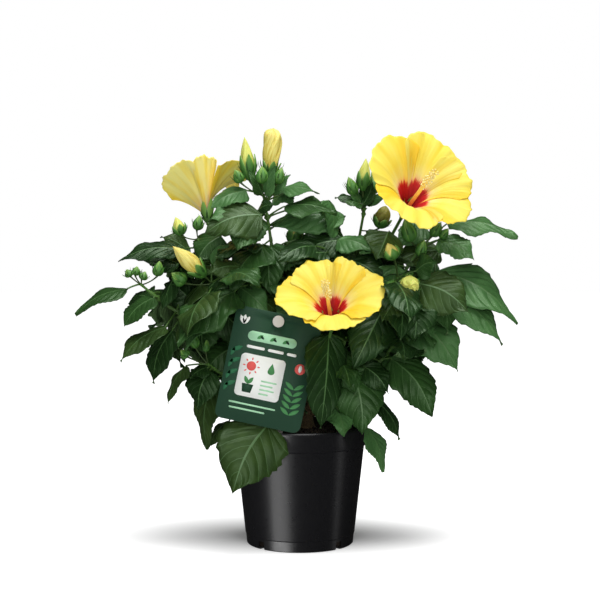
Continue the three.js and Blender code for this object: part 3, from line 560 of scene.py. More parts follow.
def set_off(start, fork):
    return ((fork - start).normalized() - UP * 0.12).normalized()


def bough_start(name):
    height, fork = BOUGHS[name]
    share = (height - TRUNK_FOOT.z) / (TRUNK_FORK.z - TRUNK_FOOT.z)
    start = TRUNK_FOOT.lerp(TRUNK_FORK, share)
    return start, set_off(start, Vector(fork))


def bough_curve(name):
    start, way = bough_start(name)
    return Bend(start + way * (STUB + GAP), way, Vector(BOUGHS[name][1]))


def bloom_ahead(bloom, distance):
    return Vector(bloom["throat"]) + Vector(bloom["faces"]).normalized() * (distance - THROAT_DEPTH)


growth = {name: (row["bough"], Vector(row["tip"])) for name, row in MASSES.items()}
growth.update({name: (bloom["bough"], bloom_ahead(bloom, -CALYX)) for name, bloom in BLOOMS.items()})


def arm_ways(bough):
    """The ways of a fork's arms: towards what they carry, spread from their common middle."""
    fork = Vector(BOUGHS[bough][1])
    ways = {name: (end - fork).normalized() for name, (on, end) in growth.items() if on == bough}
    middle = sum(ways.values(), Vector()) / len(ways)
    return {name: middle.lerp(way, SPREAD).normalized() for name, way in ways.items()}


def shoot_curve(name):
    bough, end = growth[name]
    way = arm_ways(bough)[name]
    return Bend(Vector(BOUGHS[bough][1]) + way * (ARM + GAP), way, end)


shoots = {name: shoot_curve(name) for name in growth}
print("growth:", len(BOUGHS), "boughs,", len(shoots), "shoots and flower stalks")


# %% The rule for the leaves
GOLDEN = 137.5
CROWN = {"top": 296, "shoulder": 105, "fall": 0.9, "floor": 124, "skirt": 58, "lift": 0.8, "reach": 196}
CARD_ROOM = {"left": -93.5, "right": 34.5, "behind": -44, "low": 0, "high": 245}
FLOWER_ROOM = {"left": -30, "right": 85, "behind": -70, "low": 190, "high": 400}


def seeded(seed):
    """A repeatable stream of numbers from 0 to 1."""
    state = seed
    while True:
        state = (state * 1664525 + 1013904223) % 4294967296
        yield state / 4294967296


def upper_way(foot, tip, roll):
    """The upper side of a rule's blade looks up and outwards, then rolls about its midrib."""
    ahead = (tip - foot).normalized()
    middle = (foot + tip) / 2
    upper = Vector((middle.x, middle.y, 0)).normalized() * 0.6 + UP
    upper = (upper - ahead * upper.dot(ahead)).normalized()
    return Matrix.Rotation(math.radians(roll), 3, ahead) @ upper


def seen_way(foot, tip, share):
    """The upper side of a listed blade turns to the front as far as its width seen there asks."""
    ahead = (tip - foot).normalized()
    front = Vector((0, -1, 0.1))
    front = (front - ahead * front.dot(ahead)).normalized()
    side = ahead.cross(front)
    lift = -1 if side.z + 0.3 * math.copysign(1, foot.x) * side.x < 0 else 1
    return (front * share + side * (lift * math.sqrt(1 - share * share))).normalized()


def in_room(p, left, right, behind, low, high):
    """True in a room that is open towards the camera."""
    return p.y < behind and left < p.x < right and low < p.z < high


def inside_crown(p):
    """True inside the crown's outline and clear of the card and of the front flower."""
    if in_room(p, **CARD_ROOM) or in_room(p, **FLOWER_ROOM):
        return False
    r = math.hypot(p.x, p.y)
    top = CROWN["top"] - max(0, r - CROWN["shoulder"]) * CROWN["fall"]
    floor = CROWN["floor"] + max(0, r - CROWN["skirt"]) * CROWN["lift"]
    return r < CROWN["reach"] and floor < p.z < top


def corners_of(name):
    """A quick finder of the nearest corner of one of the model's nodes, in millimetres."""
    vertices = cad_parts[name].data.vertices
    tree = KDTree(len(vertices))
    for i, vertex in enumerate(vertices):
        tree.insert(vertex.co / MM, i)
    tree.balance()
    return tree


print("crown: up to", CROWN["top"], "mm high and", CROWN["reach"], "mm from the axis, without its flowers")


# %% The leaves that the model has
DEPTHS = (0, 5, -5, 10, -10, 16, -16, 24)
TURNS = (0, 5, -5, 11, -11, 18, -18)
SAME_PLACE = 0.2
TURNED = 1.1
NODES = 12
BELOW_FOOT = 8
TRIES = 8
SEEDS = (101, 37)


def leaf_of(name, foot, tip, wide, upper, outer=True):
    """A leaf whose stalk springs from the shoot closest to a spot below its blade's foot."""
    spots = [(i / NODES, shoots[name].at(i / NODES)) for i in range(1, NODES + 1)]
    share, root = min(spots, key=lambda spot: (spot[1] - foot + UP * BELOW_FOOT).length)
    return {"root": root, "share": share, "foot": foot, "tip": tip, "wide": wide, "upper": upper,
            "outer": outer}


def listed_leaves(name, corners):
    """The leaves of the table, each at the depth that the model gives it."""
    for foot, tip, wide, seen in MASSES[name]["shown"]:
        for depth in DEPTHS:
            f, t = (Vector((x, y + depth, z)) for x, y, z in (foot, tip))
            if corners.find(t)[2] < SAME_PLACE:
                yield leaf_of(name, f, t, wide, seen_way(f, t, min(1, TURNED * seen / wide)))
                break


def ruled_leaves(name, count, seed, corners):
    """Leaves that spiral up a shoot by the golden angle, longer and lower towards its foot."""
    chance = seeded(seed)
    shoot = shoots[name]
    heading = 360 * next(chance)
    found = 0
    for _ in range(count * TRIES):
        if found == count:
            break
        heading += GOLDEN
        share = 0.12 + 0.86 * next(chance)
        root = shoot.at(share)
        dip = math.radians(38 - 62 * (1 - share) + 14 * (next(chance) - 0.5))
        blade_long = (46 + 42 * (1 - share)) * (0.85 + 0.3 * next(chance))
        wide = blade_long * (0.5 + 0.12 * next(chance))
        out = Vector((math.cos(math.radians(heading)), math.sin(math.radians(heading)), 0))
        stalk_long = 14 + 0.28 * blade_long + 0.08 * shoot.length * next(chance)
        foot = root + out * (stalk_long * math.cos(dip)) + UP * (stalk_long * math.sin(dip))
        droop = dip - math.radians(38 + 20 * next(chance))
        tip = foot + out * (blade_long * math.cos(droop)) + UP * (blade_long * math.sin(droop))
        if not inside_crown(foot) or not inside_crown(tip):
            continue
        roll = 30 * (next(chance) - 0.5)
        for turn in TURNS:
            about = Matrix.Rotation(math.radians(turn), 3, UP)
            f, t = (root + about @ (p - root) for p in (foot, tip))
            if corners.find(t)[2] < SAME_PLACE:
                found += 1
                yield leaf_of(name, f, t, wide, upper_way(f, t, roll), outer=False)
                break


leaves = {}
for order, (name, row) in enumerate(MASSES.items()):
    corners = corners_of(name)
    ruled = ruled_leaves(name, row["more"], SEEDS[0] + SEEDS[1] * order, corners)
    leaves[name] = [*listed_leaves(name, corners), *ruled]
print("leaves that the model has:", sum(map(len, leaves.values())))

# %% [markdown]
# ## More leaves inside the crown
#
# The real crown is dense: behind the leaves that one sees are smaller ones in the shade. The model
# leaves them out. Here each shoot gets more of them by the same kind of rule, only where the crown's
# shape and the model's own box for that shoot have room, apart from the leaves already there, and
# never in front of a flower or the card. A short list adds leaves near the top and the right, where
# the white background would show through the crown.

# %% Leaves in the shade
INFILL = 9
INFILL_TRIES = 40
APART = 13
FROM_BOX = 2
PLACED = {
    "foliage_top": [((-36, -46, 321), (-89, -60, 303), 40, 36), ((-32, -34, 338), (-23, -40, 367), 13, 11),
                    ((-36, -30, 340), (-49, -36, 363), 13, 10), ((-27, -26, 342), (-9, -30, 359), 14, 11)],
    "foliage_centre_right": [((60, -6, 330), (70, -12, 353), 12, 10), ((58, -2, 332), (47, -8, 349), 12, 9),
                             ((64, 4, 337), (56, 2, 360), 11, 9)],
    "foliage_centre_back": [((44, -4, 320), (-31, -12, 307), 34, 26), ((40, 8, 306), (8, -6, 286), 30, 24)],
    "foliage_centre_front": [((43, -20, 297), (-8, -34, 280), 32, 26)],
    "foliage_right_top": [((136, -10, 287), (92, -24, 274), 30, 24),
                          ((122, -5, 310), (94, -20, 291), 26, 22)],
    "foliage_right_out": [((133, 0, 275), (105, -10, 261), 26, 22)],
}


def hides_flower(p):
    """True where a point would stand before a flower, seen from the camera."""
    for bloom in BLOOMS.values():
        heart = bloom_ahead(bloom, 12)
        if p.y > heart.y + 20:
            continue
        share = (heart.y - CAMERA_AT.y) / (p.y - CAMERA_AT.y)
        seen = CAMERA_AT + (p - CAMERA_AT) * share
        if math.hypot(seen.x - heart.x, seen.z - heart.z) < bloom["radius"] * 0.95:
            return True
    return False


def more_leaves(name, mood):
    """Smaller leaves for one shoot, kept apart from the others."""
    low, high = (Vector(corner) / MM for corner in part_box(name))
    found = []
    for _ in range(INFILL * INFILL_TRIES):
        if len(found) == INFILL:
            break
        share = mood.uniform(0.05, 0.85)
        heading = mood.uniform(0, 2 * math.pi)
        root = shoots[name].at(share)
        blade_long = mood.uniform(34, 64)
        rise = mood.uniform(-0.5, 0.6)
        droop = mood.uniform(-1.3, 0.2)
        out = Vector((math.cos(heading), math.sin(heading), 0))
        foot = root + (out * math.cos(rise) + UP * math.sin(rise)) * mood.uniform(10, 26)
        tip = foot + (out * math.cos(droop) + UP * math.sin(droop)) * blade_long
        middle = (foot + tip) / 2
        if not all(inside_crown(p) and not hides_flower(p) for p in (foot, middle, tip)):
            continue
        if not all(low[k] + FROM_BOX < p[k] < high[k] - FROM_BOX for p in (foot, tip) for k in range(3)):
            continue
        if min((middle - other).length for other in middles) < APART:
            continue
        middles.append(middle)
        upper = upper_way(foot, tip, mood.uniform(-20, 20))
        wide = blade_long * mood.uniform(0.52, 0.66)
        leaf = leaf_of(name, foot, tip, wide, upper, outer=False)
        found.append({**leaf, "root": root, "share": share})
    return found


for name, places in PLACED.items():
    for foot, tip, wide, seen in places:
        foot, tip = Vector(foot), Vector(tip)
        leaves[name].append(leaf_of(name, foot, tip, wide, seen_way(foot, tip, seen / wide)))
middles = [(leaf["foot"] + leaf["tip"]) / 2 for found in leaves.values() for leaf in found]
mood = np.random.default_rng(11)
for name in MASSES:
    leaves[name] += more_leaves(name, mood)
print("leaves with those in the shade:", sum(map(len, leaves.values())))

# %% [markdown]
# ## Leaf finishes
#
# A hibiscus leaf is glossy and dark above, because of its wax, and paler and duller below. Net veins
# of about 2 mm pucker its skin, which breaks the sheen into small sparks. That net is a bump from
# Voronoi edges. Wax over green cells gives a greenish sheen, so the shine is tinted. The greens
# differ from leaf to leaf with age, so there are four upper finishes, dealt out leaf by leaf, and the
# main veins are faces of their own, a paler green.

# %% Waxy leaf, its underside and its veins
NET_OF_VEINS = 2.2
BLOTCH = 22


def leaf_finish(name, dark, light, roughness, relief):
    """Waxy leaf skin: two close greens in soft blotches under a net of fine raised cells."""
    made = material(name, dark, roughness, Specular_IOR_Level=0.42, Specular_Tint=paint("#bfe0b4"))
    tree = made.node_tree
    place = add(tree, "TexCoord").outputs["Object"]
    blotch = add(tree, "TexNoise", {"Scale": scale_of(BLOTCH), "Detail": 3}, Vector=place)
    tone = add(tree, "ValToRGB", {"stops": [(0.35, dark), (0.65, light)]}, Fac=blotch.outputs["Fac"])
    net = {"feature": "DISTANCE_TO_EDGE", "Scale": scale_of(NET_OF_VEINS)}
    cells = add(tree, "TexVoronoi", net, Vector=place)
    puckers = {"Strength": relief, "Distance": 0.25 * MM}
    bump = add(tree, "Bump", puckers, Height=cells.outputs["Distance"])
    into_shader(made, Base_Color=tone.outputs["Color"], Normal=bump.outputs["Normal"])
    return made


LEAF_TOPS = [
    leaf_finish("waxy_leaf_deep", "#152b10", "#1e3818", 0.36, 0.9),
    leaf_finish("waxy_leaf_middle", "#233f1b", "#2f5025", 0.36, 0.9),
    leaf_finish("waxy_leaf_fresh", "#375c30", "#476f3e", 0.38, 0.8),
    leaf_finish("waxy_leaf_olive", "#263a18", "#344a20", 0.38, 0.8),
]
leaf_vein = material("leaf_midrib_and_veins", "#4a6e3c", 0.45)
leaf_under = leaf_finish("leaf_underside", "#4e6a40", "#5f7c4f", 0.6, 0.4)
leaf_vein_under = material("leaf_veins_below", "#6d8a58", 0.55)
LEAF_FINISHES = [*LEAF_TOPS, leaf_vein] + [leaf_under] * len(LEAF_TOPS) + [leaf_vein_under]
VEIN_SLOT = len(LEAF_TOPS)
print("leaf finishes:", len(LEAF_FINISHES))

# %% [markdown]
# ## One leaf
#
# A leaf blade is a grid. Its rows don't run straight across: each starts on the midrib and reaches
# the margin further on, as the side veins do, so that every side vein is a narrow row of faces with
# its own finish. Between two veins the skin bulges, at the margin the rows end in teeth, and the
# whole blade is folded along the midrib, arched, waved and a little twisted.

# %% Rows and columns of the blade
VEINS = [(0.005, 0.24), (0.02, 0.45), (0.2, 0.6), (0.37, 0.73), (0.55, 0.85), (0.73, 0.94)]
VEIN_HALF = (0.003, 0.002)
BETWEEN = 4
COLUMNS = np.array([-1, -0.9, -0.72, -0.48, -0.24, -0.035, 0, 0.035, 0.24, 0.48, 0.72, 0.9, 1])


def blade_rows():
    """For each row: its share along the midrib and along the margin, its bulge, and if a vein follows."""
    rows = [(0, 0, 0, False)]
    for (m0, e0), (m1, e1) in zip([(0, 0)] + VEINS, VEINS + [(1, 1)]):
        for k in range(1, BETWEEN):
            share = k / BETWEEN
            rows.append((m0 + (m1 - m0) * share, e0 + (e1 - e0) * share, math.sin(math.pi * share), False))
        if m1 < 1:
            rows.append((m1 - VEIN_HALF[0], e1 - VEIN_HALF[1], 0, True))
            rows.append((m1 + VEIN_HALF[0], e1 + VEIN_HALF[1], 0, False))
    return rows + [(1, 1, 0, False)]


ROWS = blade_rows()
MIDRIB, MARGIN, SWELL = (np.array([row[k] for row in ROWS], float)[:, None] for k in range(3))
BLADE_QUADS = grid(len(ROWS), len(COLUMNS))
IS_VEIN = np.zeros((len(ROWS) - 1, len(COLUMNS) - 1), bool)
IS_VEIN[[i for i, row in enumerate(ROWS[:-1]) if row[3]]] = True
IS_VEIN[:, [i for i in range(len(COLUMNS) - 1) if abs(COLUMNS[i] + COLUMNS[i + 1]) < 0.1]] = True
IS_VEIN = IS_VEIN.ravel()
print("blade:", len(ROWS), "rows of", len(COLUMNS), "points")


# %% Blade and stalk
TEETH = 9
ARCH = 0.11
WIDER = 1.14
BOW = 0.06


def outline(s):
    """The half-width of an ovate blade with a long point, from 0 to 1, at a share of its length."""
    widest = 0.385
    return np.sqrt(s) * (1 - s) / widest * (1 - 0.3 * np.clip((s - 0.72) / 0.28, 0, 1))


def blade(leaf, mood):
    """The upper sheet of one leaf. Its mood is a stream of random numbers for its folds and waves."""
    foot, tip, upper = (np.array(leaf[key]) for key in ("foot", "tip", "upper"))
    length = np.linalg.norm(tip - foot)
    ahead = (tip - foot) / length
    arch = np.array(upper_way(leaf["foot"], leaf["tip"], 0)) * ARCH * length
    side, out = np.sign(COLUMNS)[None, :], np.abs(COLUMNS)[None, :]
    s = MIDRIB + (MARGIN - MIDRIB) * out ** 1.15
    tooth = (MARGIN * TEETH + 0.5 * np.sin(TEETH * MARGIN + 6 * mood.random()) + mood.random()) % 1
    near_margin = np.interp(out, [0.8, 0.9, 1], [0, 0.3, 1])
    off_ends = np.interp(s, [0.1, 0.2, 0.93, 0.99], [0, 1, 1, 0])
    half = leaf["wide"] / 2 * WIDER * outline(s)
    x = side * out * half * (1 + 0.15 * tooth * near_margin * off_ends)
    fold = mood.uniform(0.1, 0.3)
    high = mood.uniform(0.05, 0.12) * leaf["wide"]
    wave = high * np.sin(2 * math.pi * (mood.uniform(1.2, 2.2) * s + mood.random() + 0.25 * side)) * out ** 2
    bulge = mood.uniform(0.011, 0.02) * length * SWELL * np.sin(math.pi * np.clip(out, 0, 1)) ** 0.8
    height = -fold * np.abs(x) + wave + bulge - 0.2 * (1 - out) * (out > 0.03)
    twist = mood.uniform(-0.35, 0.35) * (s - 0.35)
    across = np.cross(ahead, upper)
    points = foot + (tip - foot) * s[..., None] + arch * np.sin(math.pi * s)[..., None]
    points = points + around(across, upper, twist) * x[..., None]
    points = points + around(upper, -across, twist) * height[..., None]
    return points.reshape(-1, 3)


def stalk(leaf):
    """A leaf's stalk: it leaves the shoot, bows a little and runs into the midrib."""
    root, foot, tip = leaf["root"], leaf["foot"], leaf["tip"]
    into = foot + (tip - foot) * 0.04 - leaf["upper"] * 0.5
    control = (root + foot) / 2 + UP * (BOW * (foot - root).length)
    path = [bent(root, control, foot, t) for t in np.linspace(0, 1, 9)]
    return tube(path + [into], np.interp(np.linspace(0, 1, 10), [0, 0.1, 0.85, 1], [1.3, 0.9, 0.8, 0.7]), 7)


print("blade widths from foot to tip:", outline(np.linspace(0, 1, 7)).round(2))


# %% Every mass of leaves
# The share of each upper finish: the inner leaves are mostly deep green. The outer ones turn from
# deep to fresh green by a share set for each mass, matched to how light that part of the crown looks,
# so it is partly fresh growth and partly painted light and shade. The few old, wide blades are olive.
INNER_TONES = np.array((0.6, 0.27, 0.03, 0.1))
OLIVE = 3
OLD_AND_WIDE = 50
LIT_AND_FRESH = {
    "foliage_left_low": 0.6, "foliage_left_bottom": 0.1, "foliage_left_upper": 0.05,
    "foliage_left_front": 0.95, "foliage_top": 0.85, "foliage_centre_left": 1,
    "foliage_centre_back": 0.1, "foliage_centre_right": 0.3, "foliage_centre_front": 0.1,
    "foliage_right_top": 0.9, "foliage_right_mid": 0.15, "foliage_right_out": 0.95,
    "foliage_right_low": 0.35, "foliage_front": 0.4,
}
LIT_AND_FRESH_ELSEWHERE = 0.2
BLADE_THICK = 0.32
LEAF_SEED = 3000


def two_skins(made, thick, offset, next_slots):
    """Gives a sheet its thickness, and its second skin the finishes that lie further on in its slots."""
    sheet = made.modifiers.new("two_skins", "SOLIDIFY")
    sheet.thickness = thick * MM
    sheet.offset = offset
    sheet.material_offset = next_slots


def dress(name, mood):
    """The leaves of one mass as a single piece, in place of the model's plainer one."""
    pile = Pile(name + "_leaves", LEAF_FINISHES)
    # A lighter mass gets more fresh green: partly young growth, partly painted light.
    lit_and_fresh = LIT_AND_FRESH.get(name, LIT_AND_FRESH_ELSEWHERE)
    outer = np.array((0.45 * (1 - lit_and_fresh), 0.4 * (1 - 0.5 * lit_and_fresh), 0.05 + 0.6 * lit_and_fresh, 0.1))
    outer = outer / outer.sum()
    for leaf in leaves[name]:
        tone = mood.choice(len(LEAF_TOPS), p=outer if leaf["outer"] else INNER_TONES)
        if leaf["wide"] > OLD_AND_WIDE:
            tone = OLIVE
        pile.put(blade(leaf, mood), BLADE_QUADS, np.where(IS_VEIN, VEIN_SLOT, tone))
    two_skins(pile.make([name]), BLADE_THICK, -1, len(LEAF_TOPS) + 1)


for order, name in enumerate(MASSES):
    dress(name, np.random.default_rng(LEAF_SEED + order))
print("leaves:", sum(map(len, leaves.values())), "blades of", len(BLADE_QUADS), "faces a side")

# %% [markdown]
# ## Young shoots and stalks
#
# This year's shoots are green and round, a little swollen where each leaf stalk sets off. All the
# shoots and leaf stalks share one piece. Each point carries a mark, its share of the shoot's length,
# and the finish turns that mark from brown, where bark begins to form at the foot, to fresh green.

# %% Green shoots
SHOOT_AGES = [(0, "#4a4626"), (0.3, "#3c5226"), (0.6, "#46682c"), (1, "#4f7a30")]
STALK_MARK = 0.6

green_shoot = material("green_shoot", "#5d7a35", 0.45, Specular_IOR_Level=0.4)
tree = green_shoot.node_tree
age = add(tree, "Attribute", {"attribute_name": "mark"}).outputs["Fac"]
tone = add(tree, "ValToRGB", {"stops": SHOOT_AGES}, Fac=age)
into_shader(green_shoot, Base_Color=tone.outputs["Color"])

twigs = Pile("green_shoots_and_stalks", [green_shoot])
for name in MASSES:
    shoot = shoots[name]
    shares = np.linspace(0, 1, 40)
    radii = np.interp(shares, [0, 1], SHOOT_R)
    for leaf in leaves[name]:
        radii = radii + 0.5 * np.exp(-((shares - leaf["share"]) / 0.02) ** 2)
        twigs.put(*stalk(leaf), mark=STALK_MARK)
    points, quads = tube([shoot.at(s) for s in shares], radii, 9)
    twigs.put(points, quads, mark=np.repeat([0, *shares, 1], 9))
print("shoots and stalks:", twigs.size, "points")

# %% [markdown]
# ## Bark
#
# The trunk and boughs carry thin grey-brown bark with small raised pores and shallow cracks along
# the limb. The relief is in the mesh: each ring of the tube swells and shrinks by a seeded noise
# that changes slowly along the limb and faster round it. Fine grain and colour come from the finish.

# %% Trunk and boughs with their relief
BARK_GRAIN = 1.2
BARK_TONES = [(0.3, "#3f3526"), (0.55, "#665438"), (0.75, "#7d7048")]

bark = grained("thin_grey_brown_bark", "#5b4a35", 0.85, BARK_GRAIN, 6, (0.6, 0.4), BARK_TONES, 0.65)


def bark_relief(rings, sides, mood, depth):
    """Ridges that run along a limb and wander, with a pore here and there."""
    ridges = mood.normal(0, 1, sides)
    rows = []
    for _ in range(rings):
        ridges = 0.8 * ridges + 0.6 * mood.normal(0, 1, sides)
        rows.append((ridges + np.roll(ridges, 1)) / 2)
    pores = (mood.random((rings, sides)) > 0.985) * 1.6
    return 1 + depth * np.clip(np.array(rows) + pores, -1.5, 2.2)


mood = np.random.default_rng(7)
limbs = Pile("trunk_and_boughs", [bark])


def put_limb(path, radii, sides, depth=0.035):
    limbs.put(*tube(path, radii, sides, bark_relief(len(path), sides, mood, depth)))


shares = np.linspace(0, 1, 30)
trunk_radii = np.interp(shares, [0, 0.08, 0.21, 1], [TRUNK_R["flare"], 8.2, TRUNK_R["low"], TRUNK_R["high"]])
put_limb([TRUNK_FOOT.lerp(TRUNK_FORK + UP * 2, s) for s in shares], trunk_radii, 22)
for name, (height, fork) in BOUGHS.items():
    start, way = bough_start(name)
    curve = bough_curve(name)
    path = [start + way * (STUB * s) for s in np.linspace(0, 0.9, 8)] + [curve.at(s) for s in shares]
    radii = np.interp(np.linspace(0, 1, len(path)), [0, 0.2, 1], [BOUGH_R[0] + 1, BOUGH_R[0], BOUGH_R[1]])
    put_limb(path, radii, 14)
    for arm_way in arm_ways(name).values():
        arm = [Vector(fork) + arm_way * d for d in np.linspace(-1.5, ARM + GAP + 1, 10)]
        put_limb(arm, np.linspace(BOUGH_R[1], SHOOT_R[0] + 0.15, 10), 12, 0.02)
limbs.make(["main_stem", *BOUGHS])
print("bark:", limbs.size, "points on the trunk and", len(BOUGHS), "boughs")

# %% [markdown]
# ## Buds
#
# A hibiscus bud sits in two green cups: the calyx, whose five lobes are joined below and close over
# the petals, and outside it a ring of narrow bracts. As the bud swells, the furled petals push out
# as a twisted yellow cone. One function makes every stage from a few shares: how far the calyx
# reaches up the bud, and how the petals above it are coloured and closed.

# %% Bud finishes
def shaded(name, stops, roughness, **sockets):
    """A finish whose colour runs along each shape by its mark, from its foot at 0 to its tip at 1."""
    made = material(name, stops[0][1], roughness, **sockets)
    mark = add(made.node_tree, "Attribute", {"attribute_name": "mark"}).outputs["Fac"]
    tone = add(made.node_tree, "ValToRGB", {"stops": stops}, Fac=mark)
    into_shader(made, Base_Color=tone.outputs["Color"])
    return made


CALYX_TONES = [(0, "#2a561f"), (0.5, "#447a2c"), (0.8, "#76a548"), (1, "#a6c26a")]
calyx_green = shaded("downy_green_calyx", CALYX_TONES, 0.55)
bract_green = shaded("narrow_green_bract", [(0, "#2b4f22"), (1, "#3b692a")], 0.5)


def furled_finish(name, low, deep, light):
    """Furled petals: a pale skin with deeper veins that wind up the bud along its lanes."""
    made = material(name, light, 0.6, Subsurface_Weight=0.08, Subsurface_Scale=0.002)
    tree = made.node_tree
    mark = add(tree, "Attribute", {"attribute_name": "mark"}).outputs["Fac"]
    lane = add(tree, "Attribute", {"attribute_name": "lane"}).outputs["Fac"]
    spot = add(tree, "CombineXYZ", X=lane, Y=mark).outputs[0]
    veins = add(tree, "TexNoise", {"Scale": 4.2, "Detail": 2}, Vector=spot).outputs["Fac"]
    skin = add(tree, "ValToRGB", {"stops": [(0.32, deep), (0.56, light)]}, Fac=veins)
    foot = add(tree, "ValToRGB", {"stops": [(0.1, low), (0.6, "#ffffff")]}, Fac=mark)
    layers = {"blend_type": "MULTIPLY", "Fac": 1.0, "Color1": skin.outputs[0], "Color2": foot.outputs[0]}
    tone = add(tree, "MixRGB", layers)
    bump = add(tree, "Bump", {"Strength": 0.3, "Distance": 0.4 * MM}, Height=veins)
    into_shader(made, Base_Color=tone.outputs["Color"], Normal=bump.outputs["Normal"])
    return made


BUD_FINISHES = [
    calyx_green, bract_green,
    furled_finish("furled_petal_pale_yellow", "#f2eebc", "#c8b038", "#e4d878"),
    furled_finish("furled_petal_green_yellow", "#bcd084", "#b4bc48", "#d8da70"),
    furled_finish("furled_petal_in_shade", "#6f7a3a", "#6e661e", "#8d8a34"),
]
# For each stage: how far the green cup reaches up the bud, the finish inside it, how blunt its tip is,
# where it is widest, and how far the bracts reach.
STAGES = {
    "green": {"cup": 1.0, "inner": 0, "blunt": 0, "belly": 0.36, "bracts": 0.75},
    "swelling": {"cup": 0.6, "inner": 3, "blunt": 0, "belly": 0.42, "bracts": 0.4},
    "tipped": {"cup": 0.74, "inner": 2, "blunt": 0, "belly": 0.42, "bracts": 0.5},
    "opening": {"cup": 0.4, "inner": 2, "blunt": 0, "belly": 0.5, "bracts": 0.36},
    "furled": {"cup": 0.38, "inner": 2, "blunt": 0.75, "belly": 0.74, "bracts": 0.34},
    "ball": {"cup": 0.4, "inner": 3, "blunt": 0.8, "belly": 0.5, "bracts": 0.3},
    "spent": {"cup": 0.5, "inner": 4, "blunt": 0.3, "belly": 0.45, "bracts": 0.4},
}
SEAMS = 5
CUP_LOBES = 5
BRACTS = 8
CALYX_SLOT = 0
BRACT_SLOT = 1


def axes_of(way):
    """Two unit ways at right angles to a way and to each other."""
    side = Vector(ASLANT).cross(way).normalized()
    return np.array(side), np.array(way.cross(side).normalized())


print("bud stages:", ", ".join(STAGES))


# %% Bracts, furled petals and cup lobes
def strap(root, side, out, up, reach, wide, spread, rows=7):
    """A narrow pointed blade that leaves a cup outwards and turns up, 3 columns wide."""
    s = np.linspace(0, 1, rows)[:, None]
    spine = root + out * (spread * reach * np.sin(math.pi * 0.5 * s)) + up * (reach * s)
    half = wide / 2 * np.sin(math.pi * (0.12 + 0.88 * s)) ** 0.7
    dip = out * (0.25 * half)
    points = np.stack([spine - side * half - dip, spine + dip * 0.4, spine + side * half - dip], 1)
    return points.reshape(-1, 3), grid(rows, 3)[:, ::-1], np.repeat(s.ravel(), 3)


def bud_wall(s, look):
    """The share of a bud's full radius at a share of its length."""
    low = np.clip(s / look["belly"], 0, 1)
    high = np.clip((s - look["belly"]) / (1 - look["belly"]), 0, 1)
    blunt = look["blunt"]
    wall = (1 - (1 - low) ** 2) ** 0.6 * (1 - high ** (1.6 + 3.4 * blunt)) ** (0.95 - 0.4 * blunt)
    return np.maximum(wall, 0.02)


def bud_body(foot, up, side, other, reach, radius, look, mood):
    """Furled petals: each lies over the next, so the wall has seams that wind up the bud."""
    rows, columns, blunt = 24, 8 * SEAMS, look["blunt"]
    s = np.linspace(0, 1, rows)[:, None]
    turn = np.arange(columns)[None, :] * 2 * math.pi / columns
    winding = mood.uniform(0.5, 0.8) * (1 + blunt) * s ** 1.3
    seam = turn / (2 * math.pi) * SEAMS
    step = seam % 1
    lean = -0.04 * blunt * reach * s ** 2
    r = radius * bud_wall(s, look) * (1 - (0.13 + 0.12 * blunt * s) * step)
    ring = around(side, other, turn + winding * 4 * math.pi / SEAMS)
    rise = reach * (s - 0.1 * blunt * step * s ** 3)
    points = foot + up * rise[..., None] + ring * r[..., None] + side * lean[..., None]
    lane = np.floor(seam) * 3.7 + step * 1.4 + (0.8 + 1.2 * blunt) * s
    mark = np.repeat(s.ravel(), columns)
    return points.reshape(-1, 3), grid(rows, columns, closed=True), mark, lane.ravel()


def cup_lobe(foot, up, out, reach, radius, look):
    """One of the calyx's lobes, pressed to the bud and ending in a point, pale at its edges."""
    rows, columns = 14, 9
    s = np.linspace(0, 1, rows)[:, None]
    t = np.linspace(-1, 1, columns)[None, :]
    turn = t * (math.pi / CUP_LOBES + 0.04) * np.clip((1.02 - s) / 0.5, 0, 1) ** 0.7
    tip_out = 0.5 * s ** 6 * (look["cup"] < 1)
    r = radius * bud_wall(s * look["cup"], look) * (1 + 0.16 * (1 - t ** 2)) + 0.25 + tip_out
    points = foot + up * (reach * look["cup"] * s)[..., None]
    points = points + around(out, np.cross(up, out), turn) * r[..., None]
    mark = 0.2 + 0.45 * s + 0.45 * np.abs(t) ** 5
    return points.reshape(-1, 3), grid(rows, columns), mark.ravel()


print("bud walls at half their length:", [round(float(bud_wall(0.5, look)), 2) for look in STAGES.values()])


# %% Every bud
STALK_ROOTS = (0.985, 0.9, 0.8, 0.7, 0.6)
BUD_STALK = [0.75, 0.7, 0.65, 0.65, 0.65, 0.7, 0.8, 1, 1.3]

buds = Pile("buds_and_bracts", BUD_FINISHES)


def put_bud(shoot, foot, tip, radius, stage, mood):
    """A bud on its stalk, at one of the stages."""
    look = STAGES[stage]
    foot, tip = Vector(foot), Vector(tip)
    up = (tip - foot).normalized()
    reach = (tip - foot).length
    roots = [shoot.at(share) for share in STALK_ROOTS]
    root = next((r for r in roots if (foot - r).normalized().dot(up) > 0.3), roots[0])
    control = (root + foot) / 2 + (foot - root - up * (foot - root).length) * 0.16
    path = [bent(root, control, foot, t) for t in np.linspace(0, 1, 8)]
    twigs.put(*tube(path + [foot + up * 0.6], BUD_STALK, 7), mark=0.3)
    side, other = axes_of(up)
    foot, up = np.array(foot), np.array(up)
    points, quads, mark, lane = bud_body(foot, up, side, other, reach, radius * 0.94, look, mood)
    buds.put(points, quads, look["inner"], mark, lane)
    for k in range(CUP_LOBES):
        out = around(side, other, 2 * math.pi * k / CUP_LOBES + 0.3)
        points, quads, mark = cup_lobe(foot, up, out, reach, radius * 0.96, look)
        buds.put(points, quads, CALYX_SLOT, mark)
    for k in range(BRACTS):
        out = around(side, other, 2 * math.pi * (k + 0.3 * mood.random()) / BRACTS)
        long = reach * look["bracts"] * mood.uniform(0.8, 1.1)
        root = foot + up * (0.04 * reach) + out * 1.2
        wide, spread = max(1.4, radius * 0.26), 1.08 * (radius + 0.8) / long
        points, quads, mark = strap(root, np.cross(up, out), out, up, long, wide, spread)
        buds.put(points, quads, BRACT_SLOT, mark)


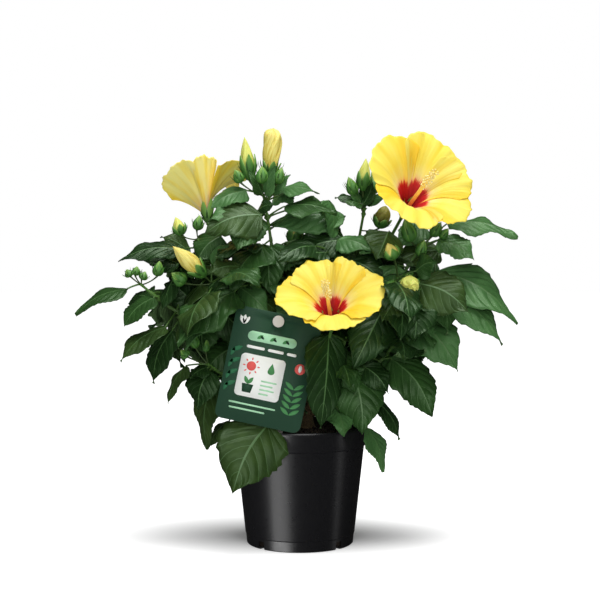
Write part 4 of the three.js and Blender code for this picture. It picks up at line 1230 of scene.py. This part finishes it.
mood = np.random.default_rng(21)
for name, row in MASSES.items():
    for bud in row["buds"]:
        put_bud(shoots[name], *bud, mood)
buds.make()
print("buds:", sum(len(row["buds"]) for row in MASSES.values()))

# %% [markdown]
# ## Flowers
#
# A hibiscus flower has five broad silky petals. Each lies over the next like the blades of a fan,
# and all are pleated towards the throat, ribbed by veins and ruffled at the rim. A pointed dark red
# patch at the foot of each petal makes the eye. From the throat rises one long column, which carries
# more than fifty stamens and ends in five round stigmas. A petal here is a grid in shares of its
# length and width, so that outline, pleats, ribs and ruffles are each one line over the same grid.

# %% Petal and column finishes
VEIN_LANES = 16
# How many soft bands of painted shade run across one petal.
SHADE_BAND_LANES = 2.6
LANES_APART = 3
PETAL_TONES = [(0, "#5c0710"), (0.22, "#9c0d16"), (0.35, "#b5121a"), (0.375, "#cc4a3a"), (0.4, "#eebc84"),
               (0.45, "#ebd57c"), (0.6, "#ead153"), (1, "#ebd65b")]
BACK_TONES = [(0, "#dc9c86"), (0.14, "#eab890"), (0.26, "#eed896"), (0.42, "#f0e286"), (1, "#f4e98c")]
# The tones of the painted shade on each petal, in its bands and on its overlapped side.
PAINTED_SHADE_TONES = [(0.28, "#ffe27c"), (0.42, "#fff1b8"), (0.6, "#ffffff")]
COLUMN_TONES = [(0, "#a8141c"), (0.12, "#cc4a2a"), (0.24, "#ea9040"), (0.42, "#f2bc54"), (0.7, "#f4d86c"),
                (1, "#f4e088")]


def petal_finish(name, stops, roughness, overlap_shade):
    """Silky petal: colours from foot to rim, veins that run out along it, and painted shade in soft bands and
    on its overlapped side.
    """
    made = material(name, stops[-1][1], roughness, Subsurface_Weight=0.3, Subsurface_Radius=(1, 0.9, 0.4),
                    Subsurface_Scale=0.002, Specular_IOR_Level=0.25)
    tree = made.node_tree
    mark = add(tree, "Attribute", {"attribute_name": "mark"}).outputs["Fac"]
    lane = add(tree, "Attribute", {"attribute_name": "lane"}).outputs["Fac"]
    across = add(tree, "Math", {"operation": "MULTIPLY", 1: VEIN_LANES}, Value=lane)
    along = add(tree, "Math", {"operation": "MULTIPLY", 1: 1.6}, Value=mark)
    spot = add(tree, "CombineXYZ", X=across.outputs[0], Y=along.outputs[0])
    veins = add(tree, "TexNoise", {"Scale": 1.0, "Detail": 3}, Vector=spot.outputs[0]).outputs["Fac"]
    # The veins move the colours a little outwards or inwards, so that the eye's edge is feathered.
    shift = {"From Min": 0.3, "From Max": 0.7, "To Min": -0.03, "To Max": 0.03}
    streak = add(tree, "MapRange", shift, Value=veins)
    moved = add(tree, "Math", {"operation": "ADD", 0: mark, 1: streak.outputs[0]})
    tone = add(tree, "ValToRGB", {"stops": stops}, Fac=moved.outputs[0])
    # Painted shade: soft bands along each petal darken it as shaded folds would, and its overlapped side
    # is painted a deeper yellow, as if in the shade of the petal over it.
    wide = add(tree, "Math", {"operation": "MULTIPLY", 1: SHADE_BAND_LANES}, Value=lane)
    spot = add(tree, "CombineXYZ", X=wide.outputs[0], Y=mark)
    shade_bands = add(tree, "TexNoise", {"Scale": 1.0, "Detail": 2}, Vector=spot.outputs[0])
    raised = add(tree, "Math", {"operation": "ADD", 1: LANES_APART / 2}, Value=lane)
    within = add(tree, "Math", {"operation": "MODULO", 1: LANES_APART}, Value=raised.outputs[0])
    side = {"From Min": 0.55, "From Max": 1.25, "To Min": -overlap_shade, "To Max": 0.06}
    paler = add(tree, "MapRange", side, Value=within.outputs[0])
    level = add(tree, "Math", {"operation": "ADD", 0: shade_bands.outputs["Fac"], 1: paler.outputs[0]})
    depth = add(tree, "ValToRGB", {"stops": PAINTED_SHADE_TONES}, Fac=level.outputs[0])
    layers = {"blend_type": "MULTIPLY", "Fac": 1.0, "Color1": tone.outputs[0], "Color2": depth.outputs[0]}
    deeper = add(tree, "MixRGB", layers)
    bump = add(tree, "Bump", {"Strength": 0.5, "Distance": 0.5 * MM}, Height=veins)
    into_shader(made, Base_Color=deeper.outputs["Color"], Normal=bump.outputs["Normal"])
    return made


# The last number is how deep the painted shade on each petal's overlapped side goes.
petal_face = petal_finish("silky_yellow_petal", PETAL_TONES, 0.55, 0.22)
petal_back = petal_finish("petal_back_paler", BACK_TONES, 0.6, 0.16)
column_skin = shaded("stamen_column", COLUMN_TONES, 0.45)
anther = material("pollen_anthers", "#f4e6a6", 0.8)
stigma = material("stigma_velvet", "#f4dc80", 0.7)
flower_calyx = shaded("green_flower_cup", [(0, "#3f6f28"), (1, "#86b352")], 0.5)
print("petal finishes: face and paler back")

# %% Five petals
PETALS = 5
PETAL_ROWS = 37
PETAL_COLUMNS = 51
THROAT_BELOW = 12
RUFFLE = 2.4
RANK_APART = 0.16
PETAL_THICK = 0.3
PETAL_GRID = grid(PETAL_ROWS, PETAL_COLUMNS)[:, ::-1]
LINE = np.linspace(0, 1.1, 111)
LEANS_TO = math.radians(190)
USUAL_CURL = 100
print("petal:", PETAL_ROWS, "by", PETAL_COLUMNS, "points")


def flower_spin(bloom):
    """The turn from a flower's own frame, z along its axis, to the plant's."""
    return np.array(UP.rotation_difference(Vector(bloom["faces"]).normalized()).to_matrix())


def in_frame(points, bloom):
    """Points of a flower's own frame, moved to their place on the plant."""
    return points @ flower_spin(bloom).T + np.array(bloom_ahead(bloom, 0) + Vector(bloom["lift"]))


def petal_line(s, long, opening, curl):
    """Where a petal is at lengths along it: its distance from the axis, its height and its slant."""
    r, z, tip = np.zeros_like(s), np.zeros_like(s), np.zeros_like(s)
    step = long * (LINE[1] - LINE[0])
    for column, (start, end) in enumerate(zip(opening, curl)):
        # An open petal bends evenly; one that rolls right back does so near its rim.
        slant = np.radians(start + (end - start) * LINE ** (0.9 if end < USUAL_CURL else 2.7))
        out, up = np.cumsum(np.sin(slant)) * step, np.cumsum(np.cos(slant)) * step
        for way, found in ((out, r), (up, z), (slant, tip)):
            found[:, column] = np.interp(s[:, column], LINE * long, way)
    return r, z, tip


def waved(place, *terms):
    """A sum of sines over a place, each with its height, its number of waves and its start."""
    return sum(height * np.sin(number * place + start) for height, number, start in terms)


def petal_sheet(bloom, order, waves):
    """One petal round the flower's axis, as points, marks from foot to rim, and lanes across."""
    heading, half_fan, long, curl, rank, tilt = bloom["petals"][order]
    usual = max(petal[2] for petal in bloom["petals"]) if curl < USUAL_CURL else long
    u = np.linspace(0.04, 1, PETAL_ROWS)[:, None]
    v = np.linspace(-1, 1, PETAL_COLUMNS)[None, :]
    fan = math.radians(half_fan) * (0.9 + 0.1 * np.clip(u / 0.5, 0, 1))
    turn = math.radians(heading) + v * fan
    notch = waved(v, (0.02, 5.5, waves[order]), (0.012, 13, waves[order + 1]), (0.007, 33, waves[order + 2]))
    s = long * u * (1 + 0.01 * tilt * v - 0.17 * np.abs(v) ** 3 * u ** 1.5 + notch * u ** 3)
    opening = bloom["opening"][0] + bloom["opening"][1] * np.cos(turn - LEANS_TO).mean(0) - tilt * v[0]
    r, z, slant = petal_line(s, usual, opening, curl - tilt * v[0])
    ruffle = waved(turn, (0.55, 2, waves[0]), (0.5, 5, waves[1]), (0.35, 9, waves[2]))
    crinkle = waved(turn, (0.35, 19, waves[3]), (0.2, 33, waves[4]))
    pleat = 2.6 * u ** 2 * (1 - u) * np.sin(14 * turn + waves[5])
    ribs = 0.15 * u * np.cos(VEIN_LANES * math.pi * v)
    proud = RUFFLE * (u ** 3 * ruffle + u ** 6 * crinkle) + pleat + ribs + RANK_APART * rank * u
    r, z = r - proud * np.cos(slant), z + proud * np.sin(slant) - THROAT_BELOW
    points = np.stack([r * np.cos(turn), r * np.sin(turn), z], -1)
    sink = bloom["sink"] @ flower_spin(bloom)
    points = points + sink * (np.clip(1 - u / 0.7, 0, 1) ** 1.3)[..., None]
    mark = u + 0.1 * np.abs(v) ** 4
    lane = np.repeat(v + LANES_APART * order, PETAL_ROWS, 0)
    return points.reshape(-1, 3), mark.ravel(), lane.ravel()


def put_petals(name, bloom, mood):
    """The five petals of a flower, each a sheet with its own waves, as one piece."""
    petals = Pile(name + "_petals", [petal_face, petal_back])
    waves = mood.uniform(0, 2 * math.pi, PETALS + 3)
    for order in range(PETALS):
        points, mark, lane = petal_sheet(bloom, order, waves)
        petals.put(in_frame(points, bloom), PETAL_GRID, 0, mark, lane)
    two_skins(petals.make([name]), PETAL_THICK, 0, 1)


# %% Column, cup and stalk
STAMENS = 56
COLUMN_SKIN, ANTHER, STIGMA, CUP, BRACT, STALK = range(6)
HEART_FINISHES = [column_skin, anther, stigma, flower_calyx, bract_green, green_shoot]
ACROSS, ALONG, AHEAD = np.eye(3)


def ball(middle, radius):
    """A small round body, as rings between its poles."""
    return tube([middle + AHEAD * (radius * h) for h in (-0.99, -0.6, 0, 0.6, 0.99)],
                radius * np.array([0.15, 0.8, 1, 0.8, 0.15]), 6)


def put_heart(name, bloom, mood):
    """The column with its stamens and stigmas, the green cup with its bracts, and the stalk."""
    heart = Pile(name + "_column_and_cup", HEART_FINISHES)

    def put(shape, slot, mark=0.0):
        heart.put(in_frame(shape[0], bloom), shape[1], slot, mark)

    def thread(root, end, rise, radius, sides, mark):
        put(tube([root, (root + end) / 2 + AHEAD * rise, end], radius, sides), COLUMN_SKIN, mark)

    s = np.linspace(0, 1, 24)
    long, lean = bloom["column"]
    lean, sink = (way @ flower_spin(bloom) for way in (lean, bloom["sink"]))
    spine = np.outer((long + THROAT_BELOW - 4) * s - THROAT_BELOW, AHEAD) + np.outer(1 - s, sink)
    spine = spine + np.outer(s ** 1.5, lean)
    radii = np.interp(s, [0, 0.1, 0.5, 1], [2.5, 2.1, 1.8, 1.2])
    put(tube(spine, radii, 10), COLUMN_SKIN, np.repeat([0, *s, 1], 10))
    for k in range(STAMENS):
        share = 0.64 + 0.34 * (k / STAMENS) ** 0.8
        out = around(ACROSS, ALONG, math.radians(GOLDEN * k)) + AHEAD * (0.25 + 0.5 * mood.random())
        root = np.array([np.interp(share, s, spine[:, axis]) for axis in range(3)])
        end = root + out * mood.uniform(2.2, 4)
        thread(root, end, 0.2, 0.16, 4, 1)
        put(ball(end, mood.uniform(0.65, 0.95)), ANTHER)
    turns = [math.radians(360 / PETALS * k + 20) for k in range(PETALS)]
    for turn in turns:
        root = spine[-1] - AHEAD * 0.5
        end = root + (around(ACROSS, ALONG, turn) + AHEAD * 1.1) * 2.6
        thread(root, end, 0.3, 0.35, 5, 0.9)
        put(ball(end, 1.15), STIGMA)
    rows = np.linspace(0, 1, 12)[:, None]
    fan = np.linspace(-1, 1, 7)[None, :] * math.pi / PETALS * np.clip((1 - rows) / 0.5, 0, 1) ** 0.8
    wall = np.interp(rows, [0, 0.15, 0.6, 1], [1.6, 4.6, 6.6, 8.4])
    rise = (CALYX + 6) * rows - CALYX
    for turn in turns:
        lobe = around(ACROSS, ALONG, turn + fan) * wall[..., None] + AHEAD * rise[..., None]
        put((lobe.reshape(-1, 3) + sink, grid(12, 7)), CUP, np.repeat(rows.ravel(), 7))
    for k in range(BRACTS):
        turn = 2 * math.pi * k / BRACTS
        out, side = around(ACROSS, ALONG, turn), around(ALONG, -ACROSS, turn)
        points, quads, mark = strap(sink + AHEAD * (1 - CALYX) + out * 1.5, side, out, AHEAD, 10, 1.8, 0.75)
        put((points, quads), BRACT, mark)
    shares = np.linspace(0, 1, 40)
    moved = Vector(bloom["lift"]) + Vector(bloom["sink"])
    path = [shoots[name].at(t) + moved * t ** 2 for t in shares]
    heart.put(*tube(path, np.interp(shares, [0, 0.96, 1], [SHOOT_R[0], 1.5, 2.3]), 10), STALK, 0.7)
    heart.make()


FLOWER_SEED = 50
for order, (name, bloom) in enumerate(BLOOMS.items()):
    mood = np.random.default_rng(FLOWER_SEED + order)
    put_petals(name, bloom, mood)
    put_heart(name, bloom, mood)
twigs.make()
print("flowers:", len(BLOOMS), "with", PETALS, "petals and", STAMENS, "stamens each")

# %% [markdown]
# ## The nursery pot
#
# The pot is thin polypropylene, drawn from a sheet over a mould and coloured right through with
# carbon black. Its skin is satin with a faint orange peel, and it has fine scuffs from stacking.
# A lathe is the way to make it: one outline turned round the axis, with the rim's step and lip
# and the foot's small ring. The four drain slots are cut with a boolean, whose cutters go away.

# %% Satin black polypropylene
ORANGE_PEEL = 1.5
SCUFF = 6

polypropylene = material("satin_black_polypropylene", "#111113", 0.3, Specular_IOR_Level=0.5)
tree = polypropylene.node_tree
place = add(tree, "TexCoord").outputs["Object"]
peel = add(tree, "TexNoise", {"Scale": scale_of(ORANGE_PEEL), "Detail": 2}, Vector=place)
rubs = {"Scale": scale_of(SCUFF), "Detail": 5, "Roughness": 0.7}
scuffs = add(tree, "TexNoise", rubs, Vector=place)
dulling = {"From Min": 0.35, "From Max": 0.75, "To Min": 0.27, "To Max": 0.33}
dulled = add(tree, "MapRange", dulling, Value=scuffs.outputs["Fac"])
bump = add(tree, "Bump", {"Strength": 0.12, "Distance": 0.1 * MM}, Height=peel.outputs["Fac"])
into_shader(polypropylene, Roughness=dulled.outputs[0], Normal=bump.outputs["Normal"])

# %% Pot
POT_SIDES = 160
POT_OUTLINE = [
    (0, 0), (50.2, 0), (51.4, 0.3), (52.2, 1.1), (53.1, 10.3), (53.5, 10.7), (53.7, 11.4), (63, 96.2),
    (63.3, 96.9), (64.4, 97.3), (64.9, 98), (65.2, 112.6), (65.5, 113.2), (65.5, 115), (65.2, 115.8),
    (64.6, 116), (64, 115.8), (63.7, 115), (63.4, 98.6), (62.9, 97.6), (61.6, 95.5), (52.1, 3), (51, 2),
    (0, 2),
]
SLOT = {"wide": 7, "high": 8, "from": 40, "to": 60, "headings": (45, 135, 225, 315)}
CRISP = 38


def lathe(profile, sides):
    """A profile of radii and heights turned round the plant's axis, as points and quads."""
    turn = np.arange(sides) * 2 * math.pi / sides
    rows = [np.stack([r * np.cos(turn), r * np.sin(turn), np.full(sides, z)], -1) for r, z in profile]
    return np.concatenate(rows), grid(len(profile), sides, closed=True)


pot = Pile("nursery_pot", [polypropylene])
points, quads = lathe(POT_OUTLINE[::-1], POT_SIDES)
pot.put(points, quads[:, ::-1])
pot_object = pot.make(["pot"])

# The cutters reach below the pot's foot and through its wall; they go away once the slots are cut.
cutters = Pile("drain_slots", [polypropylene])
side = SLOT["wide"] / 2
floor_plan = ((SLOT["from"], -side), (SLOT["to"], -side), (SLOT["to"], side), (SLOT["from"], side))
block = np.array([(x, y, z) for z in (-2, SLOT["high"]) for x, y in floor_plan])
block_faces = [(3, 2, 1, 0), (4, 5, 6, 7), (0, 1, 5, 4), (1, 2, 6, 5), (2, 3, 7, 6), (3, 0, 4, 7)]
for heading in SLOT["headings"]:
    about = np.array(Matrix.Rotation(math.radians(heading), 3, "Z"))
    cutters.put(block @ about.T, block_faces)
cutters_object = cutters.make()
cut = pot_object.modifiers.new("drain_slots", "BOOLEAN")
cut.operation, cut.object, cut.solver = "DIFFERENCE", cutters_object, "EXACT"
depsgraph = bpy.context.evaluated_depsgraph_get()
cut_mesh = bpy.data.meshes.new_from_object(pot_object.evaluated_get(depsgraph))
pot_object.modifiers.clear()
pot_object.data = cut_mesh
bpy.data.objects.remove(cutters_object)
edges = pot_object.modifiers.new("crisp_edges", "EDGE_SPLIT")
edges.split_angle = math.radians(CRISP)
print("pot:", len(cut_mesh.polygons), "faces, with", len(SLOT["headings"]), "drain slots")

# %% The low boxes light the pot alone
lit_by_low_boxes = bpy.data.collections.new("lit_by_the_low_boxes")
lit_by_low_boxes.objects.link(pot_object)
for lamp in pot_lamps:
    lamp.light_linking.receiver_collection = lit_by_low_boxes
    lamp.light_linking.blocker_collection = lit_by_low_boxes
print("low boxes:", len(pot_lamps), "lamps linked to the pot")

# %% [markdown]
# ## Potting soil
#
# Peat with bark fibre: nearly black when damp, loose and crumbly, never flat. The mound is a grid
# with soft noise in its height, and over it lie many small crumbs, each a little lumpy ball.

# %% Soil and crumbs
SOIL_TOP = 113
SOIL_EDGE = 107
CRUMBS = 1500
CLOD = 2
CLOD_TONES = [(0.3, "#17110c"), (0.55, "#2d231a"), (0.75, "#4a3a2a")]
SOIL_RINGS = [0, 8, 16, 22, 28, 34, 40, 46, 52, 57, 60, 62.4]
SOIL_WALL = [(0, 2.4), (50, 2.4), (61, 94), (62.6, 99), (62.6, 106)]
SOIL_SIDES = 96
LUMP = 1.6

peat = grained("damp_peat", "#2a211a", 0.95, CLOD, 6, (0.9, 0.8), CLOD_TONES, 0.7)


def soil_height(r):
    return np.interp(r, [0, 22, 49, 62.7], [SOIL_TOP, SOIL_TOP, SOIL_EDGE + 3.5, SOIL_EDGE])


mood = np.random.default_rng(3)
profile = SOIL_WALL + [(r, soil_height(r)) for r in reversed(SOIL_RINGS)]
points, quads = lathe(profile, SOIL_SIDES)
lumps = (mood.random((len(profile), SOIL_SIDES)) - 0.5) * LUMP
lumps[:len(SOIL_WALL)] = 0
lumps[-1] = 0
points[:, 2] += lumps.ravel()
soil = Pile("potting_soil_mound", [peat])
soil.put(points, quads)
for _ in range(CRUMBS):
    r, turn = 62 * math.sqrt(mood.random()), 2 * math.pi * mood.random()
    size = 0.5 + 1.3 * mood.random() ** 3
    middle = np.array((r * math.cos(turn), r * math.sin(turn), soil_height(r) + 0.4))
    points, quads = ball(np.zeros(3), size)
    soil.put(middle + points * mood.uniform(0.6, 1.4, 3) + mood.normal(0, 0.1 * size, points.shape), quads)
soil.make(["potting_soil"])
print("soil:", CRUMBS, "crumbs")

# %% [markdown]
# ## The care card
#
# The card is printed polypropylene sheet, 1 mm thick, with rounded corners and a punched hole. Its
# print is a generic one in the usual colours of such cards: white and mint bars, a mint panel with a
# row of small leaves, a white panel with a sun, a drop and a plant in its pot, leaves in lighter
# greens round them, and a coral disc with a leaf. Each printed shape is a very thin plate that
# stands on the card, so the print is a mesh like the rest.

# %% Card and printing inks
LABEL = {"wide": 81, "high": 106.5, "thick": 1, "corner": 7, "hole": 4.25, "middle": (-29.5, -70, 176.8),
         "tilt": 12}
HOLE_DROP = 7.5
INK_THICK = 0.12
SOFT_EDGE = 0.2
PRINT_GRAIN = 0.8

# Ink under a semi-gloss lacquer keeps the sheet's faint grain, so its shine is broken and low.
DARK, WHITE, MINT, GREEN, CORAL, EDGE, SHADE = range(7)
INKS = [grained(name, code, 0.5, PRINT_GRAIN, 2, (0.05, 0.1), Specular_IOR_Level=0.15) for name, code in (
    ("card_dark_green", "#264533"), ("ink_white", "#f1f3ef"), ("ink_mint", "#a9dcb4"),
    ("ink_leaf_green", "#4d8c55"), ("ink_coral", "#e2605a"), ("card_edge", "#33503f"),
    ("ink_shade_green", "#2f6a48"))]
TILT = (Matrix.Translation(LABEL["middle"]) @ Matrix.Rotation(math.radians(LABEL["tilt"]), 4, "Y")
        @ Matrix.Rotation(math.radians(90), 4, "X"))
print("inks:", len(INKS))


# %% Outlines on the card
def on_card(points):
    """Points of the card's own axes, x right, y up and z towards the reader, in place."""
    turned = np.array(TILT)
    return points @ turned[:3, :3].T + turned[:3, 3]


def layer(outline, z):
    return np.column_stack([outline, np.full(len(outline), z)])


def rounded(x, y, wide, high, corner, steps=8):
    """A rounded rectangle's outline round a middle, counterclockwise."""
    places = []
    for sx, sy, start in ((1, -1, -90), (1, 1, 0), (-1, 1, 90), (-1, -1, 180)):
        middle = np.array((x + sx * (wide / 2 - corner), y + sy * (high / 2 - corner)))
        for k in range(steps + 1):
            a = math.radians(start + 90 * k / steps)
            places.append(middle + corner * np.array((math.cos(a), math.sin(a))))
    return np.array(places)


def disc(x, y, radius, sides=32):
    turn = np.arange(sides) * 2 * math.pi / sides
    return np.stack([x + radius * np.cos(turn), y + radius * np.sin(turn)], -1)


def leaflet(x, y, heading, long, wide):
    """A pointed leaf outline that sets off from a spot."""
    s = np.linspace(0, 1, 12)
    edge = np.stack([s * long, wide / 2 * np.sin(math.pi * s) ** 0.8], -1)
    flat = np.concatenate([edge, edge[-2:0:-1] * (1, -1)])
    a = math.radians(heading)
    turn = np.array([(math.cos(a), -math.sin(a)), (math.sin(a), math.cos(a))])
    return flat[::-1] @ turn.T + (x, y)


def bar(x, y, wide, high=1.6):
    return rounded(x, y, wide, high, high * 0.49, 4)


print("a leaf's printed outline has", len(leaflet(0, 0, 0, 9, 4)), "points")

# %% The card and its hole
card = Pile("care_card", INKS)
edge, inner = (rounded(0, 0, LABEL["wide"] - 2 * cut, LABEL["high"] - 2 * cut, LABEL["corner"] - cut, 12)
               for cut in (0, SOFT_EDGE))
eye = np.array((0, LABEL["high"] / 2 - HOLE_DROP))
hole = np.array([eye + LABEL["hole"] * unit(p - eye) for p in edge])
half = LABEL["thick"] / 2
low, high = SOFT_EDGE - half, half - SOFT_EDGE
rings = [layer(*ring) for ring in ((hole, -half), (inner, -half), (edge, low), (edge, high), (inner, half),
                                   (hole, half), (hole, -half))]
finishes = np.repeat([DARK, EDGE, EDGE, EDGE, DARK, EDGE], len(edge))
card.put(on_card(np.concatenate(rings)), grid(len(rings), len(edge), closed=True), finishes)
print("card:", LABEL["wide"], "by", LABEL["high"], "mm")


def stamp(outline, ink, level=0):
    """A printed plate with the given outline, whose middle sees all of its edge."""
    outline = np.asarray(outline, float)
    low, high = half + level * INK_THICK, half + (level + 1) * INK_THICK
    middle = np.repeat(outline.mean(0)[None], len(outline), 0)
    rings = [layer(middle, low), layer(outline, low), layer(outline, high), layer(middle, high)]
    card.put(on_card(np.concatenate(rings)), grid(4, len(outline), closed=True), ink)


# %% The print: a mint panel with a row of leaves, and white bars below it
stamp(rounded(-2, 28, 46, 9, 4.4), MINT)
for k in range(3):
    stamp(leaflet(-16 + 12 * k, 26, 38, 6.6, 3), GREEN, 1)
    stamp(leaflet(-9.6 + 12 * k, 26.4, 142, 4.6, 2.2), DARK, 1)
for x, wide in ((-15.5, 17), (3.5, 15), (18.5, 9)):
    stamp(bar(x, 17.6, wide, 2.6), WHITE)
print("print so far:", card.size, "points")

# %% The print: leaves at the left edge
for k in range(3):
    stamp(leaflet(-31, 37, 60 + 30 * k, 9, 3.6), WHITE)
for k in range(4):
    stamp(leaflet(-37, -22 + 11 * k, 30, 11, 4.2), SHADE)
    stamp(leaflet(-37, -27 + 11 * k, 75, 9, 3.6), SHADE)
print("print so far:", card.size, "points")

# %% The print: a white panel with a sun, a drop, a potted plant and mint bars
stamp(rounded(-6, -9, 42, 40, 4), WHITE)
stamp(disc(-16, 0, 4.4), CORAL, 1)
for k in range(8):
    a = math.radians(45 * k)
    stamp(leaflet(-16 + 5.4 * math.cos(a), 5.4 * math.sin(a), 45 * k, 2.8, 1.3), CORAL, 1)
t = np.linspace(0, 2 * math.pi, 28)[:-1]
drop = np.stack([np.sin(t) * 2.5 * (1 + np.cos(t)), 1 - 5.6 * np.cos(t)], -1)
stamp(drop[::-1] + (3, 0), GREEN, 1)
stamp([(-20, -25), (-12, -25), (-10.6, -17), (-21.4, -17)], DARK, 1)
for heading in (60, 120):
    stamp(leaflet(-16, -17, heading, 8, 3.6), GREEN, 1)
for row, wide in enumerate((15, 12, 14, 9)):
    stamp(bar(3 - (15 - wide) / 2, -12 - 4 * row, wide, 1.5), MINT, 1)
print("print so far:", card.size, "points")

# %% The print: leaves at the right, two bars at the foot and a coral disc with a leaf
for k in range(5):
    for heading in (35, 145):
        stamp(leaflet(27, -38 + 6 * k, heading, 11, 3.6), GREEN)
stamp(bar(-8, -36, 44), MINT)
stamp(bar(-12, -41, 34), MINT)
stamp(disc(29, 6, 5), CORAL)
stamp(leaflet(29, 2.6, 90, 7.4, 3.4), WHITE, 1)
card.make(["label"])
print("print:", card.size, "points on the card")

# %% [markdown]
# ## Stick and button
#
# The card hangs on a flat injection-moulded stick that leans out of the soil behind it. A peg goes
# through the card's hole and ends in a round button. It is warm light grey, satin, with soft edges.

# %% Stick, peg and button
STICK = {"wide": 8, "thick": 1.8, "foot": (-20.4, -44, 66), "peg": 3.6, "button": 5.4, "button_thick": 1.6}
BEHIND_CARD = 2.6
FLOW_LINES = 3

moulded = grained("warm_grey_moulded_plastic", "#cfcac2", 0.45, FLOW_LINES, 3, (0.08, 0.1))

stick = Pile("card_stick", [moulded])
label_hole = TILT @ Vector((0, LABEL["high"] / 2 - HOLE_DROP, 0))
front = label_hole.y - LABEL["thick"] / 2 - GAP
back = label_hole.y + LABEL["thick"] / 2 + GAP
foot, top = Vector(STICK["foot"]), Vector((label_hole.x, back + BEHIND_CARD, label_hole.z + 4))
lean = Matrix.Rotation(-math.atan2(top.y - foot.y, top.z - foot.z), 3, "X")
section = rounded(0, 0, STICK["wide"], STICK["thick"], 0.6, 3)
long = (top - foot).length
rows = [(0.02, 0), (0.7, 0), (1, 0.6), (1, long - 0.6), (0.93, long - 0.15), (0.85, long), (0.02, long)]
strip = np.concatenate([layer(section * share, z - long / 2) for share, z in rows])
middle = np.array((foot + top) / 2)
stick.put(strip @ np.array(lean).T + middle, grid(len(rows), len(section), closed=True))
pins = ((STICK["peg"], back + BEHIND_CARD, front - 0.5),
        (STICK["button"], front, front - STICK["button_thick"]))
for radius, start, end in pins:
    path = [(label_hole.x, start + (end - start) * s, label_hole.z) for s in (0, 0.04, 0.15, 0.8, 0.94, 1)]
    stick.put(*tube(path, radius * np.array([0.9, 0.97, 1, 1, 0.95, 0.85]), 40))
stick.make(["label_stick"])
print("stick:", round(long), "mm long")
